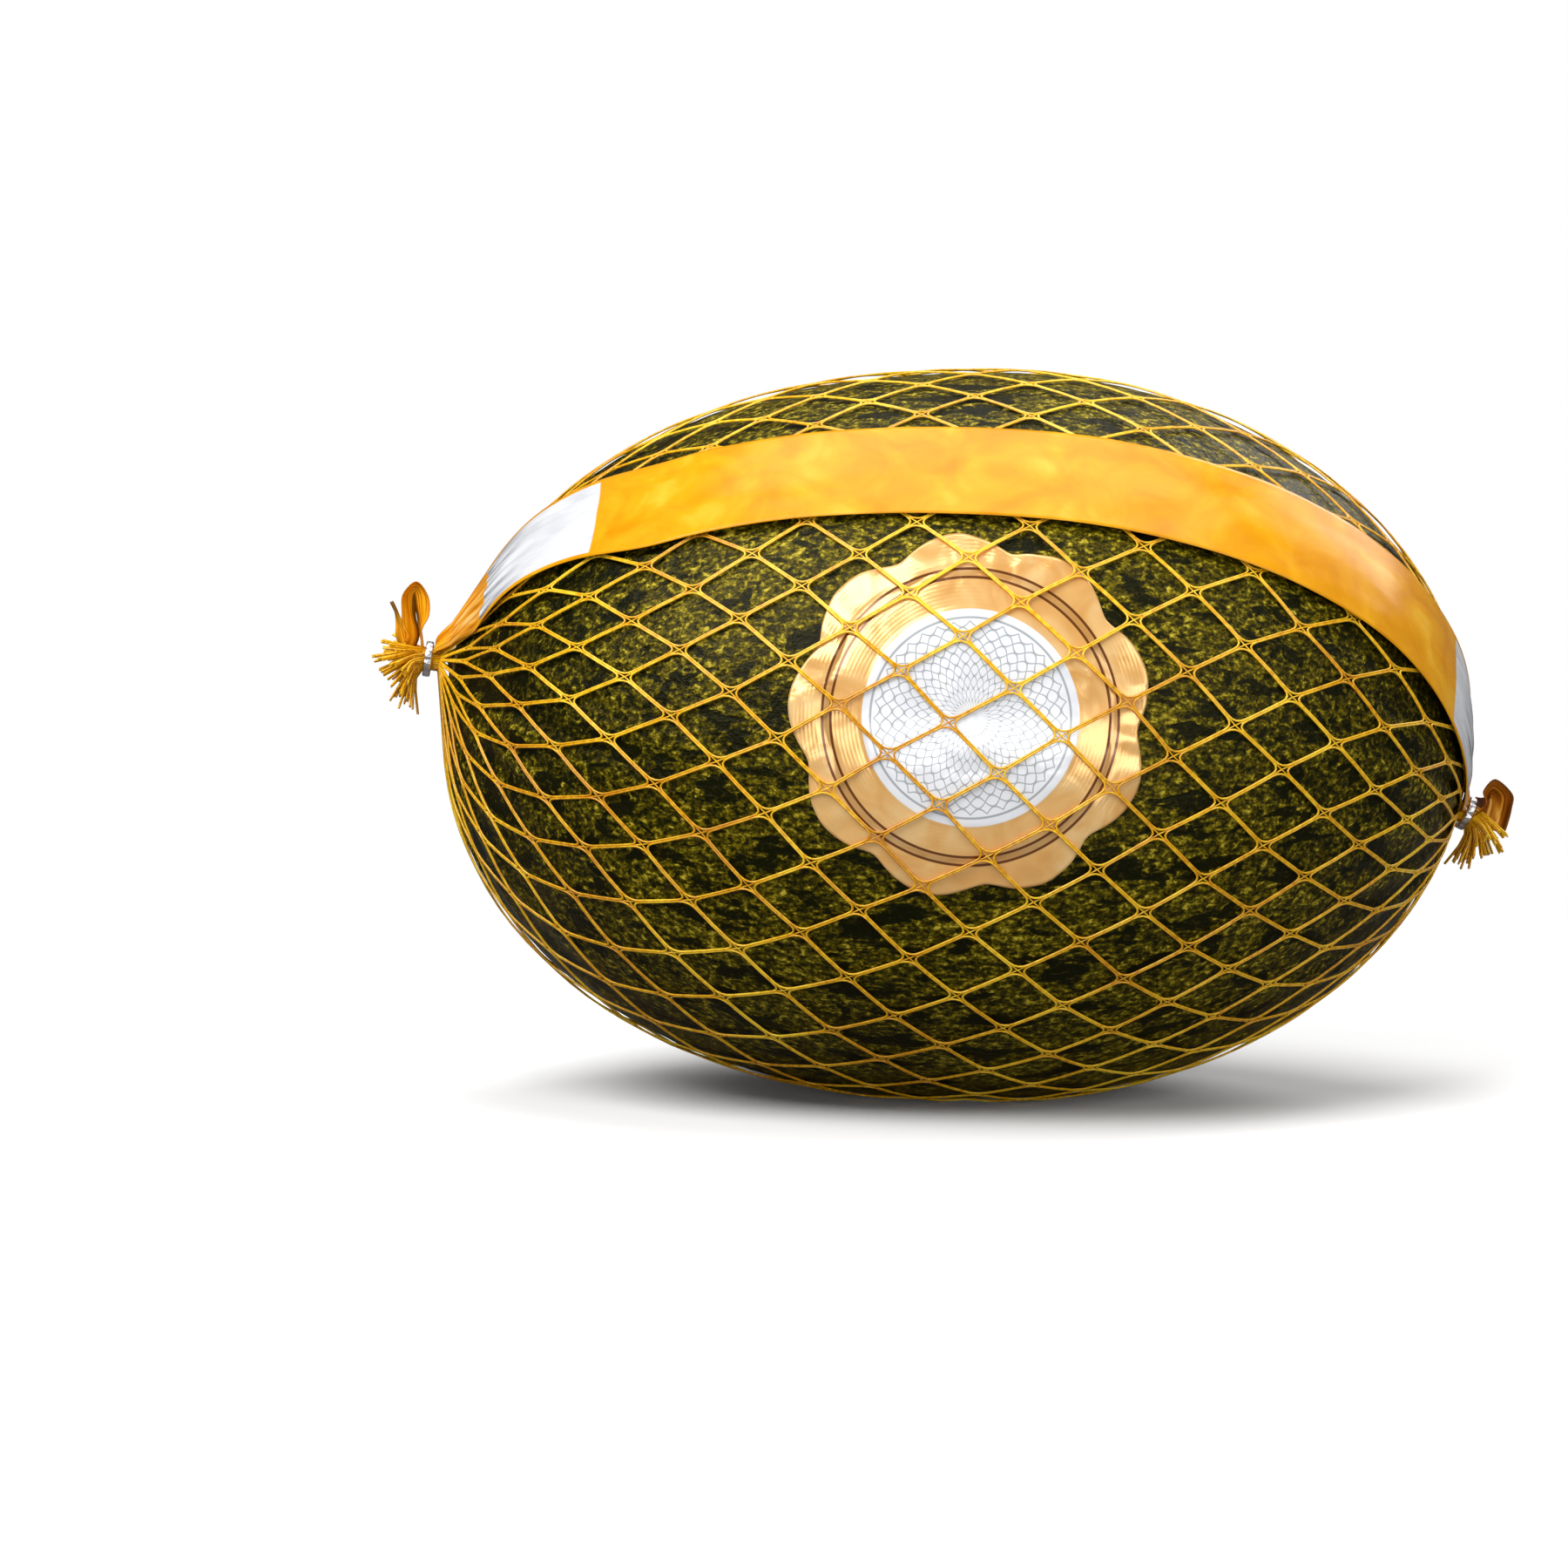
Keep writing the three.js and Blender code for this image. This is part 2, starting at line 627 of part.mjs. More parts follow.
// A crimped ring with rounded edges
function clipGeometry(end) {
  const soft = 0.4;
  const inside = CLIP_BORE;
  const outside = CLIP_BORE + CLIP_WALL;
  const profile = [
    new THREE.Vector2(inside, soft), new THREE.Vector2(inside + soft, 0),
    new THREE.Vector2(outside - soft, 0), new THREE.Vector2(outside, soft),
    new THREE.Vector2(outside, CLIP_THICKNESS - soft),
    new THREE.Vector2(outside - soft, CLIP_THICKNESS),
    new THREE.Vector2(inside + soft, CLIP_THICKNESS),
    new THREE.Vector2(inside, CLIP_THICKNESS - soft),
    new THREE.Vector2(inside, soft),
  ];
  const ring = new THREE.LatheGeometry(profile, 20);
  const outward = AXIS.clone().multiplyScalar(end);
  const turned = new THREE.Quaternion().setFromUnitVectors(new THREE.Vector3(0, 1, 0), outward);
  ring.applyQuaternion(turned);
  const place = AXIS.clone().multiplyScalar(end * (neckFoot(end) + CLIP_START));
  ring.translate(place.x, place.y, place.z);
  return geometryFrom(solidFrom(ring));
}

function finish(color, roughness, metalness) {
  return new THREE.MeshStandardMaterial({ color, roughness, metalness });
}

const parts = {
  melon: [fruitGeometry(0), finish(0x3a4212, 0.45, 0)],
  net: [netGeometry(), finish(0xe0a82a, 0.35, 0)],
  seal: [sealGeometry(), finish(0xc89a5c, 0.3, 0.6)],
  band: [bandGeometry(), finish(0xf2a818, 0.35, 0)],
  clip_left: [clipGeometry(-1), finish(0xc9ccd0, 0.35, 1)],
  clip_right: [clipGeometry(1), finish(0xc9ccd0, 0.35, 1)],
};

const melonInNet = new THREE.Group();
for (const [name, [geometry, material]] of Object.entries(parts)) {
  const mesh = new THREE.Mesh(geometry, material);
  mesh.name = name;
  melonInNet.add(mesh);
}

// The reference point is on the table, under the middle of the whole thing
const extent = new THREE.Box3().setFromObject(melonInNet);
const middle = extent.getCenter(new THREE.Vector3());
melonInNet.position.set(-middle.x, -middle.y, -extent.min.z);

export default melonInNet;
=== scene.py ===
import math

import bpy
import numpy as np
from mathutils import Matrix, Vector, noise


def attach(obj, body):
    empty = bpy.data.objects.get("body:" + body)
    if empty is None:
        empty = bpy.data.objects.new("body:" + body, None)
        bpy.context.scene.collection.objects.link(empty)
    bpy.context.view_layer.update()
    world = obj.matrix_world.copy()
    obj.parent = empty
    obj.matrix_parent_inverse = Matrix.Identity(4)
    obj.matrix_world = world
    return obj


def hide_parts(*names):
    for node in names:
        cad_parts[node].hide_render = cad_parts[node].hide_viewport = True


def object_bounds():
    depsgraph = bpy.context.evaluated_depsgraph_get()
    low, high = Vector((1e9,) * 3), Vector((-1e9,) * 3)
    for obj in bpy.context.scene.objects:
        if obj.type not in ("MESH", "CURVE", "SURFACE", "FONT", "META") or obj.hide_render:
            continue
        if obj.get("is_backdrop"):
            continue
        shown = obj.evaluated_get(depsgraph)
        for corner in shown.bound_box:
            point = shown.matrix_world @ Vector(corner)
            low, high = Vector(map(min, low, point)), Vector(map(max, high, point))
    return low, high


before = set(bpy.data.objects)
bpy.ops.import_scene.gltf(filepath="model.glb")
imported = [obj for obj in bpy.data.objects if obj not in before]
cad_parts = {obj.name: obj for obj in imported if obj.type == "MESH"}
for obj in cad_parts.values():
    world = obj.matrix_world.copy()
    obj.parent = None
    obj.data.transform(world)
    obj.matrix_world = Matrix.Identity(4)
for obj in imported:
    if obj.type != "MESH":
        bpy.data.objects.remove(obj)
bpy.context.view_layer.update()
scene = bpy.context.scene

# The viewpoint: a long lens a metre in front of the seal, a little above the fruit's middle
# and looking slightly down, so that the band and the upper net show.
VIEW_PLACE = (-0.0390, -1.0277, 0.1487)
VIEW_DIP = math.radians(4.2)
VIEW_LENS = 100.5
SENSOR_WIDTH = 36

lens = bpy.data.cameras.new("viewpoint")
lens.lens = VIEW_LENS
lens.sensor_width = SENSOR_WIDTH
viewpoint = bpy.data.objects.new("viewpoint", lens)
viewpoint.location = VIEW_PLACE
viewpoint.rotation_euler = (math.pi / 2 - VIEW_DIP, 0, 0)
scene.collection.objects.link(viewpoint)
scene.camera = viewpoint

# The fruit: one grown piel de sapo melon on a small flat spot, with its stem's scar at the blunt
# left end. The rind is waxy and dark green, flecked yellow-green, with darker blotches drawn out
# along the fruit and wrinkles that run together at its ends.
HEART = np.array((0.00079, 0.00041, 0.0846))
LEFT_LENGTH = 0.1273
RIGHT_LENGTH = 0.1117
GIRTH = 0.0852
GIRTH_STATION = 0.0082
LEFT_FULLNESS = 2.31
RIGHT_FULLNESS = 2.0
FLAT_DEPTH = 0.0015
RIND_FLOOR = FLAT_DEPTH - GIRTH
HALVINGS = 34
AXIS_FALL = math.radians(8.5)
AXIS_YAW = math.radians(3.3)
AXIS = np.array((math.cos(AXIS_FALL) * math.cos(AXIS_YAW),
                 math.cos(AXIS_FALL) * math.sin(AXIS_YAW),
                 -math.sin(AXIS_FALL)))
FRONT = np.array((0.0, -1.0, 0.0)) + AXIS * AXIS[1]
FRONT /= np.linalg.norm(FRONT)
UP = np.cross(FRONT, AXIS)


def way(polar, turn):
    """Direction at an angle from the left end of the axis, turned round it from the front."""
    polar, turn = (angle[..., None] for angle in np.broadcast_arrays(polar, turn))
    return (-np.cos(polar) * AXIS
            + np.sin(polar) * np.cos(turn) * FRONT
            + np.sin(polar) * np.sin(turn) * UP)


def outline(station):
    """Square of the fruit's radius at a distance from its girth, negative past its ends."""
    reach = np.where(station < 0, LEFT_LENGTH, RIGHT_LENGTH)
    fullness = np.where(station < 0, LEFT_FULLNESS, RIGHT_FULLNESS)
    return GIRTH ** 2 * (1 - np.abs(station / reach) ** fullness)


def rind(ways):
    """The rind along each direction, found by halving the stretch that it must be in."""
    inside = np.zeros(ways.shape[:-1])
    outside = np.full(ways.shape[:-1], 2 * LEFT_LENGTH)
    across = ways[..., 1] ** 2 + ways[..., 2] ** 2
    for _ in range(HALVINGS):
        middle = (inside + outside) / 2
        within = middle ** 2 * across <= outline(middle * ways[..., 0] - GIRTH_STATION)
        inside = np.where(within, middle, inside)
        outside = np.where(within, outside, middle)
    return ways * inside[..., None]


def unit(vectors):
    lengths = np.linalg.norm(vectors, axis=-1, keepdims=True)
    return vectors / np.maximum(lengths, 1e-12)


def rind_normal(points):
    station = points[..., 0] - GIRTH_STATION
    reach = np.where(station < 0, LEFT_LENGTH, RIGHT_LENGTH)
    fullness = np.where(station < 0, LEFT_FULLNESS, RIGHT_FULLNESS)
    steepness = np.abs(station / reach) ** (fullness - 1) * np.sign(station) / reach
    slope = GIRTH ** 2 * fullness * steepness / 2
    return unit(np.stack([slope, points[..., 1], points[..., 2]], axis=-1))


def smooth(value, low, high):
    share = np.clip((value - low) / (high - low), 0, 1)
    return share * share * (3 - 2 * share)


def lumps(points, size, seed):
    """Smooth noise of about -1 to 1, whose lumps have that size."""
    shift = Vector((seed, 0, 0))
    flat = (points / size).reshape(-1, 3)
    values = [noise.noise(Vector(point) + shift) for point in flat]
    return np.array(values).reshape(points.shape[:-1])


def plain_piece(name, points, faces, material):
    """A smooth-shaded mesh whose points are given from the fruit's heart."""
    mesh = bpy.data.meshes.new(name)
    mesh.from_pydata((points.reshape(-1, 3) + HEART).tolist(), [], faces)
    mesh.polygons.foreach_set("use_smooth", [True] * len(mesh.polygons))
    mesh.materials.append(material)
    piece = bpy.data.objects.new(name, mesh)
    scene.collection.objects.link(piece)
    return piece


def keep_result(piece, modifier):
    """A piece's mesh as its modifier makes it, kept as its own."""
    depsgraph = bpy.context.evaluated_depsgraph_get()
    made = bpy.data.meshes.new_from_object(piece.evaluated_get(depsgraph), depsgraph=depsgraph)
    made.name = piece.name
    piece.modifiers.remove(modifier)
    piece.data = made


def grid_faces(rows, columns, closed=False):
    """Quads over rows of points, joined round if closed."""
    faces = []
    for row in range(rows - 1):
        for column in range(columns if closed else columns - 1):
            beside = (column + 1) % columns
            here = row * columns
            faces.append((here + column, here + columns + column,
                          here + columns + beside, here + beside))
    return faces


def shade(red, green, blue):
    """A colour as seen, from 0 to 255 each, as the light that it sends back."""
    def light(value):
        share = value / 255
        return share / 12.92 if share < 0.04045 else ((share + 0.055) / 1.055) ** 2.4
    return (light(red), light(green), light(blue), 1)


def new_finish(name):
    """A material, its nodes and its shader."""
    finish = bpy.data.materials.new(name)
    finish.use_nodes = True
    return finish, finish.node_tree, finish.node_tree.nodes["Principled BSDF"]


def feed(tree, node, inputs):
    """A node's inputs, which are values or other nodes' outputs."""
    for name, value in inputs.items():
        if isinstance(value, bpy.types.NodeSocket):
            tree.links.new(value, node.inputs[name])
        else:
            node.inputs[name].default_value = value


def add(tree, kind, inputs=None, **settings):
    """A new node with its settings and inputs."""
    node = tree.nodes.new("ShaderNode" + kind)
    for name, value in settings.items():
        setattr(node, name, value)
    feed(tree, node, inputs or {})
    return node


def sums(tree, operation, *values):
    """One step of arithmetic."""
    node = add(tree, "Math", {place: value for place, value in enumerate(values)},
               operation=operation)
    return node.outputs[0]


def span(tree, value, low, high, start=0.0, end=1.0):
    """The value's way from low to high, held at both ends."""
    node = add(tree, "MapRange", {"Value": value, "From Min": low, "From Max": high,
                                  "To Min": start, "To Max": end},
               interpolation_type="SMOOTHSTEP")
    return node.outputs["Result"]


def cloud(tree, place, size, detail=2.0, roughness=0.5, distortion=0.0):
    """Noise whose lumps have that size in metres."""
    node = add(tree, "TexNoise", {"Vector": place, "Scale": 1 / size, "Detail": detail,
                                  "Roughness": roughness, "Distortion": distortion})
    return node.outputs["Fac"]


def ramp(tree, value, stops):
    """Colours along a value."""
    node = add(tree, "ValToRGB", {"Fac": value})
    bar = node.color_ramp.elements
    while len(bar) < len(stops):
        bar.new(1.0)
    for element, (position, colour) in zip(bar, stops):
        element.position = position
        element.color = colour
    return node.outputs["Color"]


def over_paint(tree, mask, under, paint):
    """One colour over another where the mask says, by a mixer's colour sockets 6 and 7."""
    return add(tree, "Mix", {0: mask, 6: under, 7: paint}, data_type="RGBA").outputs[2]


def bump(tree, height, depth, strength=1.0, under=None):
    """A finish's fine relief, over another one if that is given."""
    inputs = {"Height": height, "Distance": depth, "Strength": strength}
    if under is not None:
        inputs["Normal"] = under
    return add(tree, "Bump", inputs).outputs["Normal"]


# The net stands off the rind's two ends, -1 and 1, on straight lines from its necks
NECK_RADIUS = 0.0028
TAUT_HEIGHT = {-1: 0.0030, 1: 0.0016}
TAUT_REACH = math.radians(45)
TAUT_START = 0.002
TAUT_TURNS = np.linspace(-math.pi, math.pi, 73)
TAUT_STEPS = 81


def neck_foot(end):
    """How far along the axis a neck starts, past the rind's tip."""
    tip = rind(way(np.array([0.0 if end < 0 else math.pi]), np.zeros(1)))[0]
    return tip @ AXIS * end + TAUT_HEIGHT[end]


NECK_FOOT = {end: neck_foot(end) for end in (-1, 1)}


def profile(end, angle, turn):
    """How far along and out from the axis the rind is, at an angle from one end."""
    points = rind(way(angle if end < 0 else math.pi - angle, turn))
    along = points @ AXIS * end
    out = np.sqrt(np.maximum((points ** 2).sum(-1) - along ** 2, 0))
    return along, out


def taut_lines(end):
    """The straight lines from the neck that just touch the rind, at turns round the axis."""
    angles = np.linspace(0, TAUT_REACH, TAUT_STEPS)[1:, None]
    along, out = profile(end, angles, TAUT_TURNS[None, :])
    slope = (along - NECK_FOOT[end]) / np.maximum(out - NECK_RADIUS, 1e-6)
    slope = np.where(out > NECK_RADIUS + TAUT_START, slope, -np.inf)
    best = slope.argmax(axis=0)
    columns = np.arange(len(TAUT_TURNS))
    return slope[best, columns], out[best, columns]


TAUT_LINES = {end: taut_lines(end) for end in (-1, 1)}


def taut_gap(polar, turn):
    """How far the taut net stands off the rind near the necks."""
    gap = np.zeros(polar.shape)
    for end in (-1, 1):
        angle = polar if end < 0 else math.pi - polar
        slope, touch = (np.interp(turn, TAUT_TURNS, line) for line in TAUT_LINES[end])
        along, out = profile(end, angle, turn)
        line = NECK_FOOT[end] + slope * (out - NECK_RADIUS) - along
        near = (angle < TAUT_REACH) & (out < touch)
        gap = np.where(near, np.maximum(line, 0), gap)
    return gap


FRUIT_ROWS = 218
FRUIT_COLUMNS = 440
WRINKLES_ROUND = 9.0
WRINKLE_LENGTH = 1.6
WRINKLED_TO = (math.radians(12), math.radians(58))
WRINKLED_FROM = (math.radians(1), math.radians(7))
LEAST_WRINKLED = 0.10
FURROW_LEVEL = 0.35
WRINKLE_DEPTH = 1.3e-3
HIGHEST_RELIEF = 0.25e-3
STEM_SCAR = 0.0085
SCAR_DEPTH = 1.0e-3
POINTED_SHARE = 0.75
# Depth, size and seed of the lumps in the rind, from broad to fine
LUMPS = ((0.30e-3, 0.045, 3), (0.20e-3, 0.011, 7), (0.16e-3, 0.0045, 11))
LOWERED = 0.12e-3

polar_grid = np.linspace(0, math.pi, FRUIT_ROWS + 1)[1:-1, None]
turn_grid = (np.arange(FRUIT_COLUMNS) * 2 * math.pi / FRUIT_COLUMNS)[None, :]
fruit_ways = np.concatenate([way(0.0, 0.0)[None], way(polar_grid, turn_grid).reshape(-1, 3),
                             way(math.pi, 0.0)[None]])
fruit_points = rind(fruit_ways)
fruit_normals = rind_normal(fruit_points)
fruit_polar = np.arccos(np.clip(-fruit_ways @ AXIS, -1, 1))
fruit_turn = np.arctan2(fruit_ways @ UP, fruit_ways @ FRONT)
from_end = np.minimum(fruit_polar, math.pi - fruit_polar)
furrow_place = np.stack([np.cos(fruit_turn) * WRINKLES_ROUND,
                         np.sin(fruit_turn) * WRINKLES_ROUND,
                         fruit_polar * WRINKLE_LENGTH], axis=-1)
wrinkling = LEAST_WRINKLED + (1 - LEAST_WRINKLED) * (1 - smooth(from_end, *WRINKLED_TO))
wrinkling *= smooth(from_end, *WRINKLED_FROM)
furrow_depth = wrinkling * (lumps(furrow_place, 1.0, 5) - FURROW_LEVEL)
relief = WRINKLE_DEPTH * furrow_depth - LOWERED
for depth, size, seed in LUMPS:
    relief += depth * lumps(fruit_points, size, seed)
relief = np.minimum(relief, HIGHEST_RELIEF)
to_stem = np.linalg.norm(fruit_points - fruit_points[0], axis=-1)
relief -= SCAR_DEPTH * (1 - smooth(to_stem, 0.4 * STEM_SCAR, STEM_SCAR))
fruit_points = fruit_points + fruit_normals * relief[:, None]
# Both ends are drawn out into low points, which fill most of the room under the net's necks
end_sense = np.where(fruit_polar < math.pi / 2, -1, 1)
drawn_end = end_sense * POINTED_SHARE * taut_gap(fruit_polar, fruit_turn)
fruit_points = fruit_points + drawn_end[:, None] * AXIS
fruit_points[:, 2] = np.maximum(fruit_points[:, 2], RIND_FLOOR)

last_ring = 1 + (FRUIT_ROWS - 2) * FRUIT_COLUMNS
right_tip = last_ring + FRUIT_COLUMNS
fruit_faces = [tuple(corner + 1 for corner in face)
               for face in grid_faces(FRUIT_ROWS - 1, FRUIT_COLUMNS, closed=True)]
for column in range(FRUIT_COLUMNS):
    beside = (column + 1) % FRUIT_COLUMNS
    fruit_faces.append((0, 1 + column, 1 + beside))
    fruit_faces.append((right_tip, last_ring + beside, last_ring + column))

rind_finish, tree, shader = new_finish("flecked green rind")
place = add(tree, "TexCoord").outputs["Object"]


def drawn_out(share):
    """Object coordinates with patterns drawn out along the fruit."""
    return add(tree, "Mapping", {"Vector": place, "Scale": (share, 1, 1)}).outputs["Vector"]


fleck = cloud(tree, drawn_out(0.60), 0.0012, 3.0, 0.66, 0.30)
speck = cloud(tree, place, 0.0007, 2.0, 0.5)
patch = cloud(tree, drawn_out(0.40), 0.014, 3.0, 0.55, 0.4)
blotch = span(tree, cloud(tree, drawn_out(0.36), 0.0052, 3.0, 0.55, 0.4), 0.56, 0.595)
region = cloud(tree, place, 0.07, 1.0)
furrow_shade = add(tree, "Attribute", attribute_name="furrow_shade").outputs["Fac"]
tone = fleck
for pattern, share in ((speck, 0.30), (patch, 0.11), (region, 0.08)):
    about_even = sums(tree, "SUBTRACT", pattern, 0.5)
    tone = sums(tree, "MULTIPLY_ADD", about_even, share, tone)
tone = sums(tree, "MULTIPLY_ADD", blotch, -0.20, tone)
# Painted shade and light from the rind's own wrinkles: the skin is darker in the sunk furrows and
# lighter on the raised ridges
tone = sums(tree, "MULTIPLY_ADD", furrow_shade, 0.16, tone)
skin = ramp(tree, tone, [
    (0.33, shade(14, 16, 0)),
    (0.42, shade(38, 35, 1)),
    (0.48, shade(60, 52, 2)),
    (0.53, shade(80, 71, 3)),
    (0.60, shade(116, 103, 10)),
    (0.71, shade(192, 172, 56)),
])
stem_point = tuple(HEART + fruit_points[0])
near_stem = add(tree, "VectorMath", {0: place, 1: stem_point}, operation="DISTANCE")
scar = span(tree, near_stem.outputs["Value"], STEM_SCAR, 0.7 * STEM_SCAR)
cork = ramp(tree, cloud(tree, place, 0.0012, 4.0), [
    (0.3, shade(92, 74, 44)), (0.7, shade(168, 146, 104))])
pits = bump(tree, cloud(tree, place, 0.0009, 3.0, 0.6), 0.00018, 0.7)
feed(tree, shader, {
    "Base Color": over_paint(tree, scar, skin, cork),
    "Roughness": span(tree, fleck, 0.3, 0.75, 0.30, 0.44),
    "Normal": bump(tree, fleck, 0.00055, 0.8, pits),
    "Specular IOR Level": 0.11,
    "Specular Tint": (1.0, 0.92, 0.70, 1),
})

fruit = plain_piece("fruit", fruit_points, fruit_faces, rind_finish)
# The wrinkles' depth, kept on the mesh only for the rind's painted furrow shade
furrow_shade_map = fruit.data.attributes.new("furrow_shade", "FLOAT", "POINT")
furrow_shade_map.data.foreach_set("value", np.minimum(furrow_depth, 0.3))
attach(fruit, "root")
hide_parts("melon")

# The net: a sleeve of extruded yellow plastic, 29 diamond cells round. Each cell has a round thread
# of its own, which is fused to its neighbour's along each strand and swings round the corners, so
# that a small star opens where strands meet, with two straight threads crossing in it.
CELLS_ROUND = 29
STRAND_LENGTH = 0.0153
FIRST_ROW_SHIFT = 0.00225
FIRST_COLUMN = math.radians(-1)
SMALLEST_ROW = 0.010
FARTHEST_ROW = 0.5
ROW_HALVINGS = 30
MEAN_TURNS = 12
THREAD_RADIUS = 0.00025
THREAD_OFFSET = 0.00022
THREAD_CLEARANCE = 0.0004
THREAD_SIDES = 6
FEW_SIDES = 5
CORE_RADIUS = 0.00018
CORE_RISE = 0.00005
CORNER_REACH = 0.0026
CORNER_SHARE = 0.42
SHARPEST_LEAN = 0.15
UNEVENNESS = 0.00040
NET_FLOOR = -0.0846
SEAL_X = 0.0005
SEAL_Z = 0.009
SEAL_REACH = 0.0394
SEAL_LIFT = 0.0005
SEAL_SLOPE = 0.007


def lay(points, height, taut=True):
    """Points moved out or in to lie over the rind at a height, or on the taut net's lines."""
    ways = unit(points)
    placed = rind(ways)
    normals = rind_normal(placed)
    low = placed[..., 2] < RIND_FLOOR
    placed[..., 2] = np.maximum(placed[..., 2], RIND_FLOOR)
    normals = np.where(low[..., None], np.array((0.0, 0.0, -1.0)), normals)
    placed = placed + normals * np.broadcast_to(height, placed.shape[:-1])[..., None]
    if taut:
        polar = np.arccos(np.clip(-ways @ AXIS, -1, 1))
        turn = np.arctan2(ways @ UP, ways @ FRONT)
        sense = np.where(polar < math.pi / 2, -1, 1)
        placed = placed + (sense * taut_gap(polar, turn))[..., None] * AXIS
    return placed


def seal_lift(points):
    """The net rides over the seal, and slopes down to the rind just outside it."""
    away = np.hypot(points[..., 0] - SEAL_X, points[..., 2] - SEAL_Z)
    slope = 1 - smooth(away, SEAL_REACH, SEAL_REACH + SEAL_SLOPE)
    return np.where(points[..., 1] < 0, SEAL_LIFT * slope, 0)


def mean_radius(polar):
    """The rind's mean distance from its heart, all round at an angle from the left end."""
    turns = np.arange(MEAN_TURNS) * 2 * math.pi / MEAN_TURNS
    return np.linalg.norm(rind(way(np.full(MEAN_TURNS, polar), turns)), axis=-1).mean()


def next_row(polar, sense):
    """The next row of crossings, a strand's length away as the sleeve narrows."""
    here = mean_radius(polar)
    near, far = 0.0, FARTHEST_ROW
    for _ in range(ROW_HALVINGS):
        middle = (near + far) / 2
        there = mean_radius(polar + sense * middle)
        out = here * math.sin(polar)
        next_out = there * math.sin(polar + sense * middle)
        along = there * math.cos(polar + sense * middle) - here * math.cos(polar)
        half_cell = (out + next_out) / 2 * math.pi / CELLS_ROUND
        if math.hypot(along, next_out - out, half_cell) < STRAND_LENGTH:
            near = middle
        else:
            far = middle
    return polar + sense * near


def rows_towards(sense):
    """The rows of crossings from the girth to one end, until the sleeve is too narrow."""
    rows = []
    polar = math.pi / 2 + FIRST_ROW_SHIFT / GIRTH
    while True:
        polar = next_row(polar, sense)
        past = polar <= 0 or polar >= math.pi
        if past or mean_radius(polar) * math.sin(polar) < SMALLEST_ROW:
            return rows
        rows.append(polar)


left_rows = rows_towards(-1)
net_rows = [*reversed(left_rows), math.pi / 2 + FIRST_ROW_SHIFT / GIRTH, *rows_towards(1)]
MIDDLE_ROW = len(left_rows)


def parity(row):
    return abs(row - MIDDLE_ROW) % 2


def turn_of(row, index):
    return FIRST_COLUMN + (index + parity(row) / 2) * 2 * math.pi / CELLS_ROUND


def crossing(row, index):
    """A crossing on the rind, a little off its regular place as in a real net.
    The sines of large multiples scatter the crossings alike in each run."""
    polar, turn = net_rows[row], turn_of(row, index)
    place = index % CELLS_ROUND
    out = max(GIRTH * math.sin(polar), SMALLEST_ROW)
    polar += UNEVENNESS / GIRTH * math.sin(12.99 * row + 78.23 * place)
    turn += UNEVENNESS / out * math.sin(39.35 * row + 11.14 * place)
    return rind(way(np.array(polar), np.array(turn)))


def rounded(corners, closed):
    """A thread round a cell: its corners drawn in by the thread's offset and swung round.
    An open thread starts and ends at its first and last corner, inside a neck."""
    before = np.roll(corners, 1, axis=1)
    after = np.roll(corners, -1, axis=1)
    centre = corners.mean(axis=1, keepdims=True)
    face = unit(centre)
    side_in, side_out = unit(before - corners), unit(after - corners)
    inward = []
    for side in (side_in, side_out):
        square = unit(np.cross(face, side))
        inward.append(square * np.sign((square * (centre - corners)).sum(-1, keepdims=True)))
    lean = 1 + (inward[0] * inward[1]).sum(-1, keepdims=True)
    drawn = corners + THREAD_OFFSET * (inward[0] + inward[1]) / np.maximum(lean, SHARPEST_LEAN)
    length_in = np.linalg.norm(before - corners, axis=-1)
    length_out = np.linalg.norm(after - corners, axis=-1)
    reach_in = np.minimum(length_in * CORNER_SHARE, CORNER_REACH)
    reach_out = np.minimum(length_out * CORNER_SHARE, CORNER_REACH)
    start = drawn + side_in * reach_in[..., None]
    finish = drawn + side_out * reach_out[..., None]
    swing = [(1 - share) ** 2 * start + 2 * share * (1 - share) * drawn + share ** 2 * finish
             for share in (0.0, 0.25, 0.5, 0.75, 1.0)]
    swing.append((finish + np.roll(start, -1, axis=1)) / 2)
    path = np.stack(swing, axis=2)
    if closed:
        return path.reshape(len(corners), -1, 3)
    return path[:, 1:-1].reshape(len(corners), -1, 3)[:, :-1]


def laid_thread(points, radius, height=0.0):
    """Threads on the rind or the seal, pressed flat where the fruit rests on them."""
    placed = lay(points, THREAD_CLEARANCE + radius + height + seal_lift(points))
    placed[..., 2] = np.maximum(placed[..., 2], NET_FLOOR + radius)
    return placed


thread_tree = bpy.data.node_groups.new("round threads", "GeometryNodeTree")
for label, kind in (("Paths", "NodeSocketGeometry"), ("Thread radius", "NodeSocketFloat"),
                    ("Sides", "NodeSocketInt"), ("Finish", "NodeSocketMaterial")):
    thread_tree.interface.new_socket(label, in_out="INPUT", socket_type=kind)
thread_tree.interface.new_socket("Threads", in_out="OUTPUT", socket_type="NodeSocketGeometry")
nodes = {kind: thread_tree.nodes.new("GeometryNode" + kind) for kind in (
    "MeshToCurve", "CurvePrimitiveCircle", "CurveToMesh", "SetShadeSmooth", "RealizeInstances",
    "SetMaterial")}
nodes["in"] = thread_tree.nodes.new("NodeGroupInput")
nodes["out"] = thread_tree.nodes.new("NodeGroupOutput")
